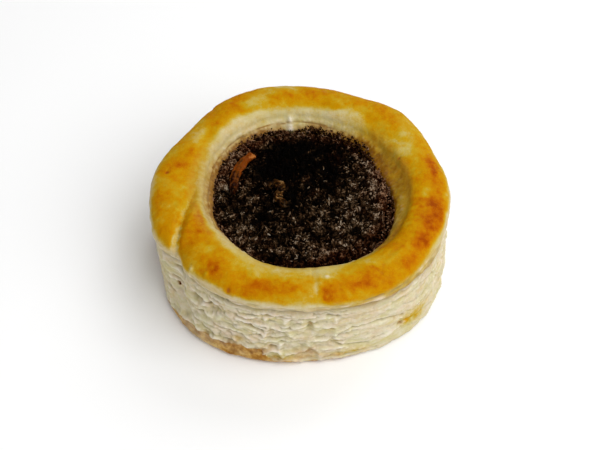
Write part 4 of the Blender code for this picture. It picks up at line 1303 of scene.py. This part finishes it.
# Colours of the painted shade in hollows, for pale and for golden dough.
PALE_RECESS_SHADE = (0.27, 0.22, 0.10)
GOLD_RECESS_SHADE = (0.22, 0.075, 0.004)
MINCE_STOPS = (
    (0.05, (0.0004, 0.0002, 0.0001)), (0.28, (0.0045, 0.0022, 0.0008)), (0.48, (0.026, 0.013, 0.005)),
    (0.7, (0.087, 0.049, 0.0235)), (0.92, (0.188, 0.128, 0.076)), (1, (0.27, 0.215, 0.155)),
)
RED_MINCE_STOPS = (
    (0.05, (0.0016, 0.0003, 0.0001)), (0.3, (0.014, 0.0026, 0.0005)), (0.55, (0.065, 0.018, 0.005)),
    (1, (0.24, 0.13, 0.07)),
)
STRIP_STOPS = (
    (0, (0.32, 0.105, 0.02)), (0.12, (0.14, 0.026, 0.001)), (0.4, (0.155, 0.033, 0.002)),
    (0.66, (0.09, 0.026, 0.003)), (0.84, (0.03, 0.006, 0.001)), (1, (0.008, 0.002, 0.0004)),
)
CURL_STOPS = (
    (0, (0.002, 0.0008, 0.0003)), (0.34, (0.01, 0.0035, 0.0008)), (0.6, (0.03, 0.011, 0.002)),
    (0.84, (0.08, 0.034, 0.006)), (1, (0.23, 0.125, 0.045)),
)

PASTRY_SHADER = {
    "Subsurface Weight": 0.1,
    "Subsurface Radius": (1.0, 0.6, 0.25),
    "Subsurface Scale": 0.001,
    "Specular IOR Level": 0.012,
}
MINCE_SHADER = {"Specular IOR Level": 0.01}
SCRAP_SHADER = {"Specular IOR Level": 0.02, "Subsurface Weight": 0.1, "Subsurface Scale": 0.0006}
FLOOR_SHADER = {"Roughness": 0.9, "Specular IOR Level": 0.1}
FLOOR_COLOURS = ((0.9, 0.9, 0.9), (0.92, 0.92, 0.92))


class Look:
    """A material being made, with short names for the nodes that its colours are made of."""

    def __init__(self, name):
        self.material = bpy.data.materials.new(name)
        self.material.use_nodes = True
        self.tree = self.material.node_tree
        self.shader = self.tree.nodes["Principled BSDF"]

    def add(self, kind, inputs, **settings):
        """A node with its settings, and each input set or linked."""
        made = self.tree.nodes.new(kind)
        for name, value in settings.items():
            setattr(made, name, value)
        self.fill(made, inputs)
        return made

    def fill(self, node, inputs):
        for socket, value in inputs.items():
            if isinstance(value, bpy.types.NodeSocket):
                self.tree.links.new(value, node.inputs[socket])
            else:
                node.inputs[socket].default_value = value

    def shade(self, name):
        """The value that the points of a piece hold under that name."""
        return self.add("ShaderNodeAttribute", {}, attribute_name=name).outputs["Fac"]

    def speckle(self, scale, detail=3.0):
        """Noise from about 0.25 to 0.75, with that many bumps a metre."""
        place = self.add("ShaderNodeTexCoord", {}).outputs["Object"]
        inputs = {"Vector": place, "Scale": scale, "Detail": detail, "Roughness": 0.55}
        return self.add("ShaderNodeTexNoise", inputs).outputs["Fac"]

    def maths(self, operation, a, b, clamp=False):
        return self.add("ShaderNodeMath", {0: a, 1: b}, operation=operation, use_clamp=clamp).outputs[0]

    def times(self, a, b, clamp=False):
        return self.maths("MULTIPLY", a, b, clamp)

    def plus(self, a, b):
        return self.maths("ADD", a, b)

    def spread(self, value, noise, amount):
        """value with noise about it, of that amount."""
        return self.plus(value, self.times(self.maths("SUBTRACT", noise, 0.5), amount))

    def ranged(self, value, low, high):
        """value from 0 to 1 carried over to low to high."""
        return self.add("ShaderNodeMapRange", {0: value, 3: low, 4: high}).outputs[0]

    def ramp(self, factor, stops):
        """A colour ramp with (position, colour) stops."""
        made = self.add("ShaderNodeValToRGB", {0: factor})
        elements = made.color_ramp.elements
        while len(elements) < len(stops):
            elements.new(0.5)
        for element, (position, colour) in zip(elements, stops):
            element.position = position
            element.color = (*colour, 1.0)
        return made.outputs["Color"]

    def blend(self, factor, a, b, kind="MIX"):
        """Colour a turned into b as factor goes from 0 to 1."""
        inputs = {0: factor}
        for socket, colour in ((6, a), (7, b)):
            inputs[socket] = (*colour, 1.0) if isinstance(colour, tuple) else colour
        return self.add("ShaderNodeMix", inputs, data_type="RGBA", blend_type=kind).outputs[2]

    def finished(self, colour, settings, bumps=None, strength=0.0, depth=0.0):
        """The material, with its colour, the shader's settings, and a bump of that depth in metres."""
        self.fill(self.shader, {"Base Color": colour, **settings})
        if bumps is not None:
            inputs = {"Strength": strength, "Distance": depth, "Height": bumps}
            relief = self.add("ShaderNodeBump", inputs).outputs["Normal"]
            self.tree.links.new(relief, self.shader.inputs["Normal"])
        return self.material


def pastry_material():
    """Baked dough: cream where it is raw-pale, gold to brown where it is glazed and toasted."""
    look = Look("baked_pastry")
    large = look.speckle(330.0)
    medium = look.speckle(900.0)
    fine = look.speckle(2600.0, 4.0)
    baked = look.shade("toast")
    mottle = look.spread(look.spread(look.times(large, 0.5), medium, 0.38), fine, 0.32)
    swing = look.times(look.maths("SUBTRACT", mottle, 0.25), look.ranged(baked, 0.35, 1.0))
    toast = look.plus(baked, swing)
    colour = look.ramp(toast, CRUST_STOPS)
    # Lighter on ridges and flakes: painted highlight.
    colour = look.blend(look.times(look.shade("crest_highlight"), 0.7), colour, CREST_HIGHLIGHT_COLOUR)
    tint = look.spread(look.spread(look.shade("tint"), medium, 0.8), fine, 0.5)
    colour = look.blend(1.0, colour, look.ramp(tint, TINT_STOPS), "MULTIPLY")
    # Juice stains and scorch, with painted shade in the crease and in the side's gaps.
    stain_and_shade = look.shade("stain_and_shade")
    stain_and_shade_colour = look.ramp(look.spread(stain_and_shade, medium, 0.7), STAIN_AND_SHADE_STOPS)
    colour = look.blend(look.times(stain_and_shade, 1.25, True), colour, stain_and_shade_colour)
    browned = look.ramp(look.spread(large, medium, 1.0), BOTTOM_STOPS)
    colour = look.blend(look.shade("bottom"), colour, browned)
    # Painted shade in hollows, creases and under the ring's edge.
    recess_shade_colour = look.blend(baked, PALE_RECESS_SHADE, GOLD_RECESS_SHADE)
    colour = look.blend(look.times(look.shade("recess_shade"), 0.62), colour, recess_shade_colour)
    gloss = look.ranged(look.plus(toast, look.times(fine, 0.3)), 0.75, 0.42)
    bumps = look.spread(fine, medium, 1.4)
    return look.finished(colour, {"Roughness": gloss, **PASTRY_SHADER}, bumps, 0.5, 0.00025)


def mince_material():
    """Fine dark mince: wet and nearly black, or drier, brown and grey."""
    look = Look("dark_mince")
    fine = look.speckle(2400.0, 4.0)
    tone = look.shade("tone")
    dry_and_lit = look.spread(look.shade("dry_and_lit"), look.speckle(800.0), 0.7)
    # Bright flecks of the wet mince: painted glints.
    fleck_glints = look.plus(look.ranged(tone, 0.0, 0.6), look.ranged(fine, -0.4, 1.3))
    value = look.spread(look.spread(look.times(dry_and_lit, fleck_glints), fine, 0.45), tone, 0.22)
    colour = look.blend(look.shade("red_and_lit"), look.ramp(value, MINCE_STOPS), look.ramp(value, RED_MINCE_STOPS))
    gloss = look.ranged(fine, 0.25, 0.7)
    return look.finished(colour, {"Roughness": gloss, **MINCE_SHADER}, fine, 0.6, 0.00025)


def scrap_material(name, stops, roughness):
    """A cooked shred of vegetable, with fibres along it."""
    look = Look(name)
    value = look.spread(look.shade("tone"), look.speckle(1300.0), 0.7)
    settings = {"Roughness": roughness, **SCRAP_SHADER}
    return look.finished(look.ramp(value, stops), settings, look.speckle(1800.0), 0.4, 0.0002)


def floor_material():
    look = Look("pale_floor")
    return look.finished(look.blend(look.speckle(3.0, 1.0), *FLOOR_COLOURS), FLOOR_SHADER)


# --- The studio --------------------------------------------------------------------------------

CAMERA_DISTANCE = 0.42
CAMERA_ELEVATION = 48.0
CAMERA_AIM = Vector((0.0, 0.0, 0.0095))
CAMERA_LENS = 98.0
FLOOR_HALF_SIDE = 1.5
# Soft lights: name, place, side of the square, power in watts.
SOFT_LIGHTS = (
    ("key", (0.42, -0.28, 0.62), 0.8, 6.4), ("fill", (-0.45, -0.55, 0.4), 0.6, 1.3),
    ("back", (0.28, 0.55, 0.5), 0.5, 2.2),
)
WORLD_STRENGTH = 0.30


def aim(thing, target):
    thing.rotation_euler = (Vector(target) - thing.location).to_track_quat("-Z", "Y").to_euler()


def camera():
    made = placed("camera", bpy.data.cameras.new("camera"))
    made.data.lens = CAMERA_LENS
    made.data.sensor_fit = "HORIZONTAL"
    made.data.clip_start = 0.01
    slope = math.radians(CAMERA_ELEVATION)
    made.location = CAMERA_AIM + CAMERA_DISTANCE * Vector((0.0, -math.cos(slope), math.sin(slope)))
    aim(made, CAMERA_AIM)
    bpy.context.scene.camera = made


def studio():
    """Soft lights, a white surround and a plain pale floor."""
    for name, place, size, power in SOFT_LIGHTS:
        lamp = bpy.data.lights.new(name, "AREA")
        lamp.size = size
        lamp.energy = power
        made = placed(name, lamp)
        made.location = place
        aim(made, CAMERA_AIM)
    world = bpy.data.worlds.new("studio")
    world.use_nodes = True
    background = world.node_tree.nodes["Background"]
    background.inputs["Color"].default_value = (1.0, 1.0, 1.0, 1.0)
    background.inputs["Strength"].default_value = WORLD_STRENGTH
    bpy.context.scene.world = world
    mesh = bpy.data.meshes.new("floor")
    h = FLOOR_HALF_SIDE
    mesh.from_pydata([(-h, -h, 0.0), (h, -h, 0.0), (h, h, 0.0), (-h, h, 0.0)], [], [(0, 1, 2, 3)])
    mesh.materials.append(floor_material())
    floor = placed("floor", mesh)
    bpy.context.scene.view_settings.view_transform = "Standard"


camera()
studio()
PASTRY = pastry_material()
MINCE = mince_material()
CARROT = scrap_material("cooked_carrot", STRIP_STOPS, 0.3)
ONION = scrap_material("cooked_onion", CURL_STOPS, 0.35)
ring()
side()
filling()
shreds()
fringe()
scrap("carrot_shred", STRIP_LINE, *STRIP_FORM, CARROT, "carrot", "carrot_strip")
scrap("onion_shred", CURL_LINE, *CURL_FORM, ONION, "onion", "onion_curl")
